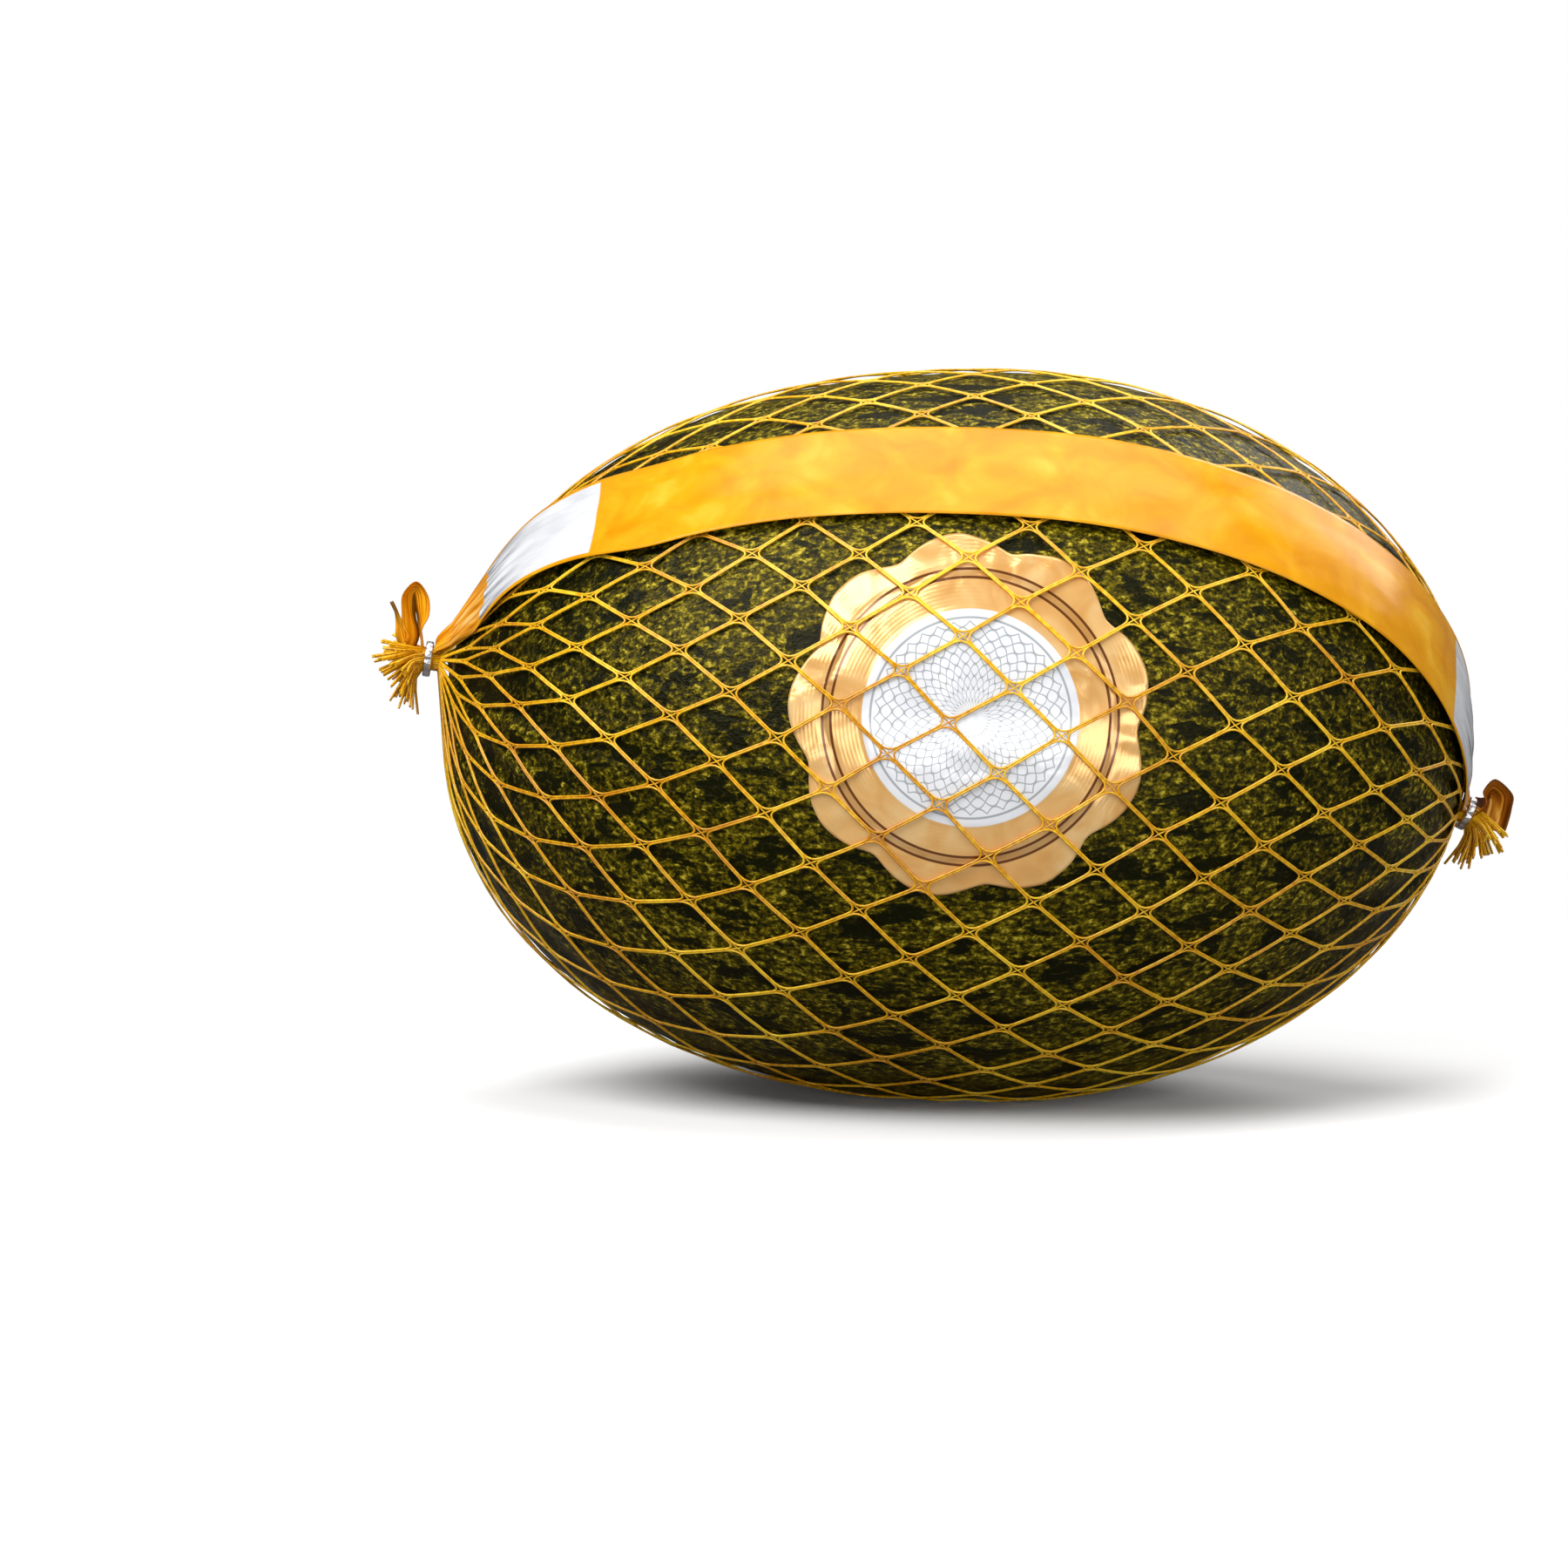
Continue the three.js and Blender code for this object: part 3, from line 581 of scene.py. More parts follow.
for source, output, target, socket in (
        ("in", "Paths", "MeshToCurve", "Mesh"),
        ("in", "Thread radius", "CurvePrimitiveCircle", "Radius"),
        ("in", "Sides", "CurvePrimitiveCircle", "Resolution"),
        ("MeshToCurve", "Curve", "CurveToMesh", "Curve"),
        ("CurvePrimitiveCircle", "Curve", "CurveToMesh", "Profile Curve"),
        ("CurveToMesh", "Mesh", "SetShadeSmooth", "Geometry"),
        ("SetShadeSmooth", "Geometry", "RealizeInstances", "Geometry"),
        ("RealizeInstances", "Geometry", "SetMaterial", "Geometry"),
        ("in", "Finish", "SetMaterial", "Material"),
        ("SetMaterial", "Geometry", "out", "Threads")):
    thread_tree.links.new(nodes[source].outputs[output], nodes[target].inputs[socket])
nodes["CurveToMesh"].inputs["Fill Caps"].default_value = True


def threads(name, paths, closed, radius, finish, sides=THREAD_SIDES):
    """Round threads swept along paths, then kept as a plain mesh."""
    points, edges = [], []
    for path in paths:
        first = len(points)
        points.extend((path + HEART).tolist())
        edges.extend((first + step, first + step + 1) for step in range(len(path) - 1))
        if closed:
            edges.append((len(points) - 1, first))
    mesh = bpy.data.meshes.new(name + " paths")
    mesh.from_pydata(points, edges, [])
    piece = bpy.data.objects.new(name, mesh)
    scene.collection.objects.link(piece)
    sweep = piece.modifiers.new("round threads", "NODES")
    sweep.node_group = thread_tree
    sizes = {"Thread radius": radius, "Sides": sides, "Finish": finish}
    for item in thread_tree.interface.items_tree:
        if item.name in sizes:
            sweep[item.identifier] = sizes[item.name]
    keep_result(piece, sweep)
    return piece


net_finish, tree, shader = new_finish("golden yellow net plastic")
place = add(tree, "TexCoord").outputs["Object"]
batch = cloud(tree, place, 0.03, 2.0)
streak = cloud(tree, place, 0.0012, 2.0)
streaked = sums(tree, "MULTIPLY_ADD", sums(tree, "SUBTRACT", streak, 0.5), 0.7, batch)
plastic = ramp(tree, streaked, [
    (0.30, shade(206, 138, 0)), (0.50, shade(232, 174, 6)), (0.72, shade(250, 208, 46))])
feed(tree, shader, {
    "Base Color": plastic,
    "Roughness": span(tree, streak, 0.3, 0.7, 0.26, 0.40),
    "Normal": bump(tree, streak, 0.00006, 0.5),
    "Subsurface Weight": 0.10,
    "Subsurface Radius": (0.0008, 0.0005, 0.0001),
    "Coat Weight": 0.2,
    "Coat Roughness": 0.2,
})

LAST_ROW = len(net_rows) - 1
cells = []
for row in range(1, LAST_ROW):
    for index in range(CELLS_ROUND):
        beyond = index + parity(row)
        cells.append([crossing(row, index), crossing(row + 1, beyond),
                      crossing(row, index + 1), crossing(row - 1, beyond)])
net_cells = threads("net_cells", laid_thread(rounded(np.array(cells), True), THREAD_RADIUS),
                    True, THREAD_RADIUS, net_finish)

straight = []
for sense in (-1, 1):
    for first in range(CELLS_ROUND):
        knots = []
        column = first
        for row in range(LAST_ROW + 1):
            knots.append(crossing(row, column))
            if sense < 0:
                column = column - 1 + parity(row)
            else:
                column = column + parity(row)
        knots = np.array(knots)
        halves = (knots[1:] + knots[:-1]) / 2
        path = np.empty((2 * len(knots) - 1, 3))
        path[::2], path[1::2] = knots, halves
        straight.append(path)
core_paths = laid_thread(np.array(straight), CORE_RADIUS, CORE_RISE)
net_core = threads("net_core_threads", core_paths, False, CORE_RADIUS, net_finish, FEW_SIDES)

# The gathers: past the last crossings the threads run straight to a neck, through its clip, and
# end in a tuft of cut threads, which fans out from under the film.
GATHER_RADIUS = 0.0024
NECK_BASE = 0.0016
NECK_DROOP = {-1: 0.0, 1: math.radians(18)}
CLIP_START = 0.0026
CLIP_THICKNESS = 0.0018
CUT_LENGTH = 0.0112
SHORTEST_CUT = 0.66
CUT_VARIETY = 0.5
CUT_FAN = math.radians(70)
CUT_FALL = {-1: (math.radians(-16), math.radians(100)), 1: (math.radians(10), math.radians(100))}
CUT_SCATTER = 0.4
FALL_SCATTER = 0.5
GOLDEN_SHARE = 0.618034
MORE_ENDS = 44
PAIR_TURN = 0.04


def past_neck(end, aside, along, up):
    """A place past the neck's foot, where the neck hangs down a little."""
    fall = NECK_DROOP[end] * float(smooth(along, NECK_BASE / 2, CLIP_START))
    past = along - NECK_BASE
    along = NECK_BASE + past * math.cos(fall) + up * math.sin(fall)
    up = up * math.cos(fall) - past * math.sin(fall)
    return AXIS * end * (NECK_FOOT[end] + along) + FRONT * aside + UP * up


def neck_point(end, out, along, turn):
    """A place out from a neck's middle and along it, turned round it from the front."""
    return past_neck(end, out * math.cos(turn), along, out * math.sin(turn))


def cut_end(end, turn, strand, side):
    """One of a strand's two threads, from the neck's foot through the clip to its cut end."""
    draw = (strand * GOLDEN_SHARE) % 1
    other = (strand * GOLDEN_SHARE * 7) % 1
    inner = GATHER_RADIUS * math.sqrt(0.05 + 0.95 * draw)
    highest, lowest = CUT_FALL[end]
    level = inner / GATHER_RADIUS * math.sin(turn)
    fall = highest + (lowest - highest) * (1 - level) / 2 + FALL_SCATTER * (other - 0.5)
    aside = CUT_FAN * inner / GATHER_RADIUS * math.cos(turn) + CUT_SCATTER * (draw - 0.5)
    droop = NECK_DROOP[end]
    onward = AXIS * end * math.cos(droop) - UP * math.sin(droop)
    down = AXIS * end * math.sin(droop) + UP * math.cos(droop)
    heading = ((onward * math.cos(fall) - down * math.sin(fall)) * math.cos(aside)
               + FRONT * math.sin(aside))
    beside = unit(np.cross(heading, onward + 0.4 * FRONT * math.sin(7 * strand))) * side
    points = [neck_point(end, GATHER_RADIUS * (0.85 + 0.15 * draw), NECK_BASE * 0.5, turn),
              neck_point(end, inner, CLIP_START + 0.0002, turn),
              neck_point(end, inner, CLIP_START + CLIP_THICKNESS, turn)]
    place = points[-1]
    length = CUT_LENGTH * (SHORTEST_CUT + CUT_VARIETY * other)
    for share in (0.25, 0.5, 0.75, 1.0):
        straight_share = (1 - share) ** 3
        bent = onward * straight_share + heading * (1 - straight_share)
        place = place + unit(bent) * length / 4
        points.append(place)
    return [point + beside * THREAD_OFFSET * 0.9 for point in points]


for end, side_name in ((-1, "left"), (1, "right")):
    last = 0 if end < 0 else LAST_ROW
    inner_row = last + (1 if end < 0 else -1)
    paths = []
    for index in range(CELLS_ROUND):
        turn = turn_of(last, index)
        beyond = index + parity(last)
        middle = (turn + turn_of(last, index + 1)) / 2
        # Two neighbouring crossings of the last row, with the next row's crossing between
        foot = neck_point(end, GATHER_RADIUS, NECK_BASE, middle)
        outer = np.array([[foot, crossing(last, index), crossing(inner_row, beyond),
                           crossing(last, index + 1), foot]])
        bend = laid_thread(rounded(outer, False)[0], THREAD_RADIUS)
        ways_in = [cut_end(end, middle - PAIR_TURN, 2 * index, -1),
                   cut_end(end, middle + PAIR_TURN, 2 * index + 1, -1)]
        paths.append(np.array([*reversed(ways_in[0]), *bend, *ways_in[1]]))
        # The narrow cell between the two strands that leave one crossing of the last row
        before = turn - math.pi / CELLS_ROUND
        after = turn + math.pi / CELLS_ROUND
        narrow = np.array([[neck_point(end, GATHER_RADIUS, NECK_BASE, before),
                            crossing(last, index),
                            neck_point(end, GATHER_RADIUS, NECK_BASE, after)]])
        bend = laid_thread(rounded(narrow, False)[0], THREAD_RADIUS)
        ways_in = [cut_end(end, before + PAIR_TURN, (2 * index - 1) % (2 * CELLS_ROUND), 1),
                   cut_end(end, after - PAIR_TURN, 2 * index, 1)]
        paths.append(np.array([*reversed(ways_in[0]), *bend, *ways_in[1]]))
    # The cut ends of further cells, which start in the clip
    for strand in range(MORE_ENDS):
        turn = (strand + 0.5) * 2 * math.pi / MORE_ENDS
        for side in (-1, 1):
            way_out = cut_end(end, turn, 2 * CELLS_ROUND + strand, side)
            paths.append(np.array(way_out[1:]))
    gather = threads("net_gather_" + side_name, paths, False, THREAD_RADIUS, net_finish,
                     FEW_SIDES)
    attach(gather, "root")

for piece in (net_cells, net_core):
    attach(piece, "root")
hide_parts("net")

# The clips: soft aluminium rings, crimped round each gathered neck by a toothed tool.
CLIP_BORE = 0.0030
CLIP_WALL = 0.0012
CLIP_STEPS = 96
CLIP_CORNERS = 16
CLIP_SQUARENESS = 0.5
CRIMPS = 8
CRIMP_DEPTH = 0.00035

clip_finish, tree, shader = new_finish("satin aluminium")
place = add(tree, "TexCoord").outputs["Object"]
scuff = cloud(tree, add(tree, "Mapping", {"Vector": place, "Scale": (4, 1, 1)}).outputs["Vector"],
              0.0009, 4.0)
metal = ramp(tree, scuff, [(0.3, shade(168, 170, 174)), (0.7, shade(226, 227, 230))])
feed(tree, shader, {
    "Base Color": metal,
    "Roughness": span(tree, scuff, 0.3, 0.7, 0.24, 0.44),
    "Normal": bump(tree, scuff, 0.00008, 0.6),
    "Metallic": 1.0,
})

for end, side_name in ((-1, "left"), (1, "right")):
    rows = []
    for step in range(CLIP_STEPS):
        turn = step * 2 * math.pi / CLIP_STEPS
        pinch = CRIMP_DEPTH * max(math.cos(CRIMPS * turn), 0) ** 2
        outer = CLIP_BORE + CLIP_WALL - pinch
        ring = []
        for corner in range(CLIP_CORNERS):
            angle = corner * 2 * math.pi / CLIP_CORNERS
            across = math.copysign(abs(math.cos(angle)) ** CLIP_SQUARENESS, math.cos(angle))
            deep = math.copysign(abs(math.sin(angle)) ** CLIP_SQUARENESS, math.sin(angle))
            out = (CLIP_BORE + outer) / 2 + across * (outer - CLIP_BORE) / 2
            along = CLIP_START + CLIP_THICKNESS / 2 + deep * CLIP_THICKNESS / 2
            ring.append(neck_point(end, out, along, turn))
        rows.append(ring)
    rows = np.array(rows)
    faces = []
    for step in range(CLIP_STEPS):
        beside = (step + 1) % CLIP_STEPS
        for corner in range(CLIP_CORNERS):
            above = (corner + 1) % CLIP_CORNERS
            here, there = step * CLIP_CORNERS, beside * CLIP_CORNERS
            face = (here + corner, there + corner, there + above, here + above)
            faces.append(face if end < 0 else tuple(reversed(face)))
    clip = plain_piece("neck_clip_" + side_name, rows, faces, clip_finish)
    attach(clip, "root")
    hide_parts("clip_" + side_name)

# The seal: a scalloped disc of embossed gold foil with nine lobes, stuck on the rind under the net.
# Its middle is silver-white, and a double line runs round inside the rim.
SEAL_RADIUS = 0.0374
SEAL_WAVE = 0.0020
SEAL_LOBES = 9
LOBE_SOFTNESS = 0.04
SEAL_FIRST_LOBE = math.radians(95)
SEAL_HEIGHT = 0.00042
FOIL_THICKNESS = 0.00012
FOIL_RINGS = 72
FOIL_STEPS = 24 * SEAL_LOBES
DISC_SHARE = 0.63
RING_MIDDLE = 0.0312
RING_SPREAD = 0.0009
RING_WIDTH = 0.0006
RIDGE_DEPTH = 0.00016
RIDGE_WIDTH = 0.0008
PUCKER_FROM = 0.82
PUCKERS = 27
PUCKER_HEIGHT = 0.00016
RIM_LIFT = 0.00012
DISC_STEP = 0.00010
ROSETTE_RINGS = 9
ROSETTE_SHARE = 0.56
EDGE = 0.0001
GROOVES = 7400.0


def front_of_rind(x, z):
    """The rind's front surface at a place seen square from the front."""
    depth = np.sqrt(np.maximum(outline(x - GIRTH_STATION) - z ** 2, 0))
    return np.stack([x, -depth, z], axis=-1)


share = (np.arange(1, FOIL_RINGS + 1) / FOIL_RINGS)[:, None]
turn = (np.arange(FOIL_STEPS) * 2 * math.pi / FOIL_STEPS)[None, :]
half_turns = np.cos(SEAL_LOBES / 2 * (turn - SEAL_FIRST_LOBE))
wave = 2 * np.sqrt(half_turns ** 2 * (1 - LOBE_SOFTNESS) + LOBE_SOFTNESS) - 1
rim = SEAL_RADIUS + SEAL_WAVE * wave * share ** 3
foil_x = SEAL_X + share * rim * np.cos(turn)
foil_z = SEAL_Z + share * rim * np.sin(turn)
foil_x = np.concatenate([[SEAL_X], foil_x.ravel()])
foil_z = np.concatenate([[SEAL_Z], foil_z.ravel()])
foil_share = np.concatenate([[0.0], np.broadcast_to(share, rim.shape).ravel()])
foil_turn = np.concatenate([[0.0], np.broadcast_to(turn, rim.shape).ravel()])
foil = front_of_rind(foil_x, foil_z)
pucker = smooth(foil_share, PUCKER_FROM, 1.0)
from_line = foil_share * SEAL_RADIUS - RING_MIDDLE
ridges = -RIDGE_DEPTH * np.exp(-(from_line / RIDGE_WIDTH) ** 2)
embossing = (ridges + DISC_STEP * smooth(foil_share, DISC_SHARE + 0.01, DISC_SHARE - 0.01)
             + PUCKER_HEIGHT * pucker * np.sin(foil_turn * PUCKERS + 2 * np.sin(foil_turn * 5))
             + 0.00020 * lumps(foil, 0.013, 21) + 0.00005 * lumps(foil, 0.004, 23)
             + RIM_LIFT * pucker)
foil = foil + rind_normal(foil) * (SEAL_HEIGHT + embossing)[:, None]
foil_faces = [tuple(corner + 1 for corner in reversed(face))
              for face in grid_faces(FOIL_RINGS, FOIL_STEPS, closed=True)]
foil_faces += [(0, 1 + (step + 1) % FOIL_STEPS, 1 + step) for step in range(FOIL_STEPS)]

foil_finish, tree, shader = new_finish("gold foil")
place = add(tree, "TexCoord").outputs["Object"]
centred = add(tree, "Mapping", {"Vector": place, "Location": (
    -HEART[0] - SEAL_X, 0, -HEART[2] - SEAL_Z)}).outputs["Vector"]
parts = add(tree, "SeparateXYZ", {"Vector": centred})
level = add(tree, "CombineXYZ", {"X": parts.outputs["X"], "Y": parts.outputs["Z"]})
away = add(tree, "VectorMath", {0: level.outputs["Vector"]}, operation="LENGTH").outputs["Value"]
crease = cloud(tree, place, 0.012, 2.0, 0.5, 1.2)
grain = cloud(tree, place, 0.0012, 3.0)
gold = ramp(tree, crease, [
    (0.30, shade(232, 172, 96)), (0.50, shade(240, 188, 116)), (0.70, shade(246, 204, 140))])


def ring_line(radius, width):
    """A line round the seal's middle."""
    gap = sums(tree, "ABSOLUTE", sums(tree, "SUBTRACT", away, radius))
    return span(tree, gap, width * 0.62, width * 0.38)


line_gap = sums(tree, "ABSOLUTE", sums(tree, "SUBTRACT", away, RING_MIDDLE))
between = span(tree, line_gap, 0.0010, 0.0003, 0.0, 0.30)
lines = sums(tree, "MAXIMUM", ring_line(RING_MIDDLE + RING_SPREAD, RING_WIDTH),
             sums(tree, "MAXIMUM", ring_line(RING_MIDDLE - RING_SPREAD, RING_WIDTH), between))
disc = span(tree, away, DISC_SHARE * SEAL_RADIUS + EDGE, DISC_SHARE * SEAL_RADIUS - EDGE)
silver = ramp(tree, crease, [(0.3, shade(226, 228, 233)), (0.7, shade(238, 239, 243))])
# A plain rosette of two sets of waved rings, with a thin ring outside it
around = sums(tree, "ARCTAN2", parts.outputs["Z"], parts.outputs["X"])
petals = sums(tree, "SINE", sums(tree, "MULTIPLY", around, 2.0 * SEAL_LOBES))
swell = sums(tree, "MULTIPLY", petals, 1.5)
rings = sums(tree, "MULTIPLY", away, ROSETTE_RINGS * math.pi / DISC_SHARE / SEAL_RADIUS)
rosette = sums(tree, "MAXIMUM", *(
    span(tree, sums(tree, "ABSOLUTE", sums(tree, "SINE", sums(tree, side, rings, swell))),
         0.30, 0.14) for side in ("ADD", "SUBTRACT")))
inner = span(tree, away, ROSETTE_SHARE * SEAL_RADIUS + EDGE, ROSETTE_SHARE * SEAL_RADIUS)
rosette = sums(tree, "MAXIMUM", sums(tree, "MULTIPLY", rosette, inner),
               ring_line((ROSETTE_SHARE + 0.02) * SEAL_RADIUS, 0.0005))
silver = over_paint(tree, sums(tree, "MULTIPLY", rosette, 0.6), silver, shade(96, 108, 112))
face_colour = over_paint(tree, disc, gold, silver)
face_colour = over_paint(tree, lines, face_colour, shade(112, 62, 22))
grooves = sums(tree, "MULTIPLY", sums(tree, "SINE", sums(tree, "MULTIPLY", away, GROOVES)),
               sums(tree, "SUBTRACT", 1.0, disc))
pressed = bump(tree, grooves, 0.00002, 0.2, bump(tree, crease, 0.0006, 0.5))
feed(tree, shader, {
    "Base Color": face_colour,
    "Metallic": sums(tree, "MULTIPLY_ADD", disc, -0.20, 0.30),
    "Roughness": span(tree, crease, 0.3, 0.7, 0.14, 0.24),
    "Normal": bump(tree, grain, 0.00003, 0.15, pressed),
    "Coat Weight": 0.3,
    "Coat Roughness": 0.12,
})


def give_thickness(piece, thickness):
    """A thin sheet's second face and edges, kept in its mesh."""
    wall = piece.modifiers.new("thickness", "SOLIDIFY")
    wall.thickness = thickness
    wall.offset = 0
    wall.use_even_offset = True
    keep_result(piece, wall)


seal = plain_piece("foil_seal", foil, foil_faces, foil_finish)
give_thickness(seal, FOIL_THICKNESS)
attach(seal, "root")
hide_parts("seal")

# The band: one strip of glossy golden-yellow film outside the net, caught in both clips. It is
# gathered in pleats at the necks. The left end stands up in a loop with a pointed tail, and the
# right end curls over as a flap.
BAND_WIDTH = 0.027
BAND_HEIGHT_ROUND = math.radians(46.5)
BAND_LEFT_TURN = math.radians(22)
BAND_RIGHT_TURN = math.radians(-5)
BAND_END_REACH = math.radians(40)
BAND_END_SPREAD = math.radians(40)
BAND_FIRST_STATION = math.radians(4.2)
BAND_STATIONS = 240
BAND_COLUMNS = 33
BAND_HEIGHT = 0.0016
FILM_THICKNESS = 0.00016
FILM_GAP = 0.00035
PLEAT_DEPTH = 0.00045
PLEATS = 4.5
PLEAT_SWAY = 0.6
SWAY_ALONG = 300
SLACK_DEPTH = 0.00030
SLACK_ACROSS = 2.6
SLACK_ALONG = 420
TAIL_EASE = (0.003, 0.009)
EDGE_LIFT = 0.0004
GATHER_LENGTH = 0.030
EASED_STEPS = 5
LEFT_TAIL_WIDTH = 0.0046
LEFT_TAIL_POINT = 0.15
LEFT_TAIL_TWIST = math.radians(44)
RIGHT_TAIL_WIDTH = 0.0060
RIGHT_TAIL_SPREAD = 0.0030
RIGHT_TAIL_TWIST = math.radians(-62)
# Millimetres past the neck's foot and up from the axis, as the film stands
LEFT_TAIL = ((5.4, 3.6), (6.2, 7.0), (6.3, 10), (7.2, 14.0), (8.7, 16.0), (10.0, 13.9), (9.3, 9.6),
             (8.0, 4.8), (8.7, 2.5), (9.8, 4.2), (11.1, 7.2), (12.4, 9.8), (13.8, 12.1))
RIGHT_TAIL = ((6.1, 3.2), (5.8, 4.7), (5.7, 6.0), (6.3, 7.0), (7.3, 6.6), (8.1, 4.6), (8.7, 1.6),
              (9.0, -1.0))
# Millimetres out from the axis and past the neck's foot, where the film runs into the clip
NECK_STATIONS = ((5.2, 1.75), (3.7, 2.05), (2.85, 2.7), (2.7, 3.5), (2.8, 5.0))
across = np.linspace(-1, 1, BAND_COLUMNS)


def band_turn(polar):
    """How far round the axis the film's middle lies, at an angle from the left end."""
    left = smooth(BAND_END_REACH - polar, 0, BAND_END_REACH)
    right = smooth(BAND_END_REACH - (math.pi - polar), 0, BAND_END_REACH)
    return BAND_HEIGHT_ROUND + BAND_LEFT_TURN * left + BAND_RIGHT_TURN * right


polar = np.linspace(BAND_FIRST_STATION, math.pi - BAND_FIRST_STATION, BAND_STATIONS)
mid = rind(way(polar, band_turn(polar)))
out = np.sqrt((mid ** 2).sum(-1) - (mid @ AXIS) ** 2)
spread = np.minimum(BAND_END_SPREAD, BAND_WIDTH / 2 / out)
turns = band_turn(polar)[:, None] + across[None, :] * spread[:, None]
over_fruit = lay(way(polar[:, None], turns), BAND_HEIGHT)


def neck_rows(end):
    """Rows of points across the film, from the fruit's end into the clip."""
    turn = float(band_turn(np.array(0.0 if end < 0 else math.pi)))
    return [np.array([neck_point(end, out / 1000, along / 1000, turn + side * BAND_END_SPREAD)
                      for side in across]) for out, along in NECK_STATIONS]


def tail_rows(end, path, width, twist):
    """Rows of points across a strip that follows a path in the plane of the axis and up."""
    turn = float(band_turn(np.array(0.0 if end < 0 else math.pi)))
    aside = math.cos(turn) * (GATHER_RADIUS + FILM_GAP)
    centres = np.array([past_neck(end, aside, along / 1000, up / 1000) for along, up in path])
    rows = []
    for step, centre in enumerate(centres):
        share = step / (len(centres) - 1)
        ahead = centres[min(step + 1, len(centres) - 1)]
        behind = centres[max(step - 1, 0)]
        tangent = unit(ahead - behind)
        angle = twist(share)
        side = (-FRONT * math.cos(angle) + np.cross(tangent, -FRONT) * math.sin(angle))
        side = unit(side - tangent * (side @ tangent))
        rows.append(centre + np.outer(across * width(share) / 2, side))
    return rows


def eased(rows, steps):
    """Rows filled in along a smooth curve through them."""
    rows = np.array(rows)
    padded = np.concatenate([2 * rows[:1] - rows[1:2], rows, 2 * rows[-1:] - rows[-2:-1]])
    filled = []
    for first in range(len(rows) - 1):
        a, b, c, d = padded[first:first + 4]
        for step in range(steps):
            t = step / steps
            filled.append(0.5 * (2 * b + (c - a) * t + (2 * a - 5 * b + 4 * c - d) * t ** 2
                                 + (3 * b - a - 3 * c + d) * t ** 3))
    filled.append(rows[-1])
    return filled


def left_width(share):
    return LEFT_TAIL_WIDTH * (1 - (1 - LEFT_TAIL_POINT) * smooth(share, 0.70, 1.0))


def left_twist(share):
    return LEFT_TAIL_TWIST * smooth(share, 0.0, 0.2)


def right_width(share):
    return RIGHT_TAIL_WIDTH + RIGHT_TAIL_SPREAD * smooth(share, 0.0, 0.6)


def right_twist(share):
    return RIGHT_TAIL_TWIST * smooth(share, 0.0, 0.5)


left_tail = tail_rows(-1, LEFT_TAIL, left_width, left_twist)
left_end = eased([*reversed(left_tail), *reversed(neck_rows(-1)), over_fruit[0]], EASED_STEPS)
right_tail = tail_rows(1, RIGHT_TAIL, right_width, right_twist)
right_end = eased([over_fruit[-1], *neck_rows(1), *right_tail], EASED_STEPS)
film = np.array([*left_end[:-1], *over_fruit, *right_end[1:]])
film_steps = np.linalg.norm(np.diff(film[:, BAND_COLUMNS // 2], axis=0), axis=-1)
film_along = np.concatenate([[0.0], np.cumsum(film_steps)])
first_over = len(left_end) - 1
last_over = first_over + BAND_STATIONS - 1
film_along -= film_along[first_over]
film_length = film_along[last_over]
past_end = np.maximum(-film_along, film_along - film_length)
gathered = 1 - smooth(-past_end, 0.0, GATHER_LENGTH)
film_normal = unit(np.cross(np.gradient(film, axis=0), np.gradient(film, axis=1)))
sway = PLEAT_SWAY * np.sin(film_along[:, None] * SWAY_ALONG)
pleats = np.sin(across[None, :] * PLEATS * math.pi + sway)
film_place = np.stack(np.broadcast_arrays(film_along[:, None], across * BAND_WIDTH / 2, 0.0),
                      axis=-1)
creasing = (0.00012 * lumps(film_place * (0.4, 1, 1), 0.006, 31)
            + 0.00020 * lumps(film_place * (1, 0.5, 1), 0.02, 33))
in_tail = smooth(past_end, *TAIL_EASE)[:, None]
slack = np.sin(across[None, :] * SLACK_ACROSS + film_along[:, None] * SLACK_ALONG)
ruffle = gathered[:, None] * (PLEAT_DEPTH * (1 - in_tail) * pleats + SLACK_DEPTH * in_tail * slack)
lift_edge = EDGE_LIFT * np.abs(across[None, :]) ** 4 * (1 - gathered[:, None])
film = film + film_normal * (ruffle + creasing + lift_edge)[..., None]

film_finish, tree, shader = new_finish("golden yellow film")
uv = add(tree, "UVMap", uv_map="film").outputs["UV"]
strip = add(tree, "SeparateXYZ", {"Vector": uv})
lengthwise, crosswise = strip.outputs["X"], strip.outputs["Y"]


def along_film(share):
    """The film's own coordinates with patterns drawn out along it."""
    return add(tree, "Mapping", {"Vector": uv, "Scale": (share, 1, 1)}).outputs["Vector"]


marble = cloud(tree, uv, 0.013, 4.0, 0.55, 0.8)
sheen = cloud(tree, along_film(0.35), 0.006, 3.0)
golden = ramp(tree, marble, [
    (0.28, shade(208, 132, 0)), (0.46, shade(217, 146, 5)), (0.60, shade(225, 158, 14)),
    (0.76, shade(234, 178, 48))])
TAIL_TIP = film_along[0]
LEFT_PANEL = (0.014, 0.053)
RIGHT_PANEL = (film_length - 0.040, film_length - 0.008)
panel = None
for low, high in (LEFT_PANEL, RIGHT_PANEL):
    inside = sums(tree, "MULTIPLY", span(tree, lengthwise, low, low + 0.0006),
                  span(tree, lengthwise, high + 0.0006, high))
    panel = inside if panel is None else sums(tree, "MAXIMUM", panel, inside)
margin = sums(tree, "ABSOLUTE", crosswise)
panel = sums(tree, "MULTIPLY", panel, span(tree, margin, BAND_WIDTH * 0.46, BAND_WIDTH * 0.45))
white = ramp(tree, sheen, [(0.3, shade(196, 198, 203)), (0.7, shade(226, 227, 230))])
# Noise for painted fold shade on the film near the necks and on its tails
fold_shading = cloud(tree, along_film(0.10), 0.0018, 2.0)
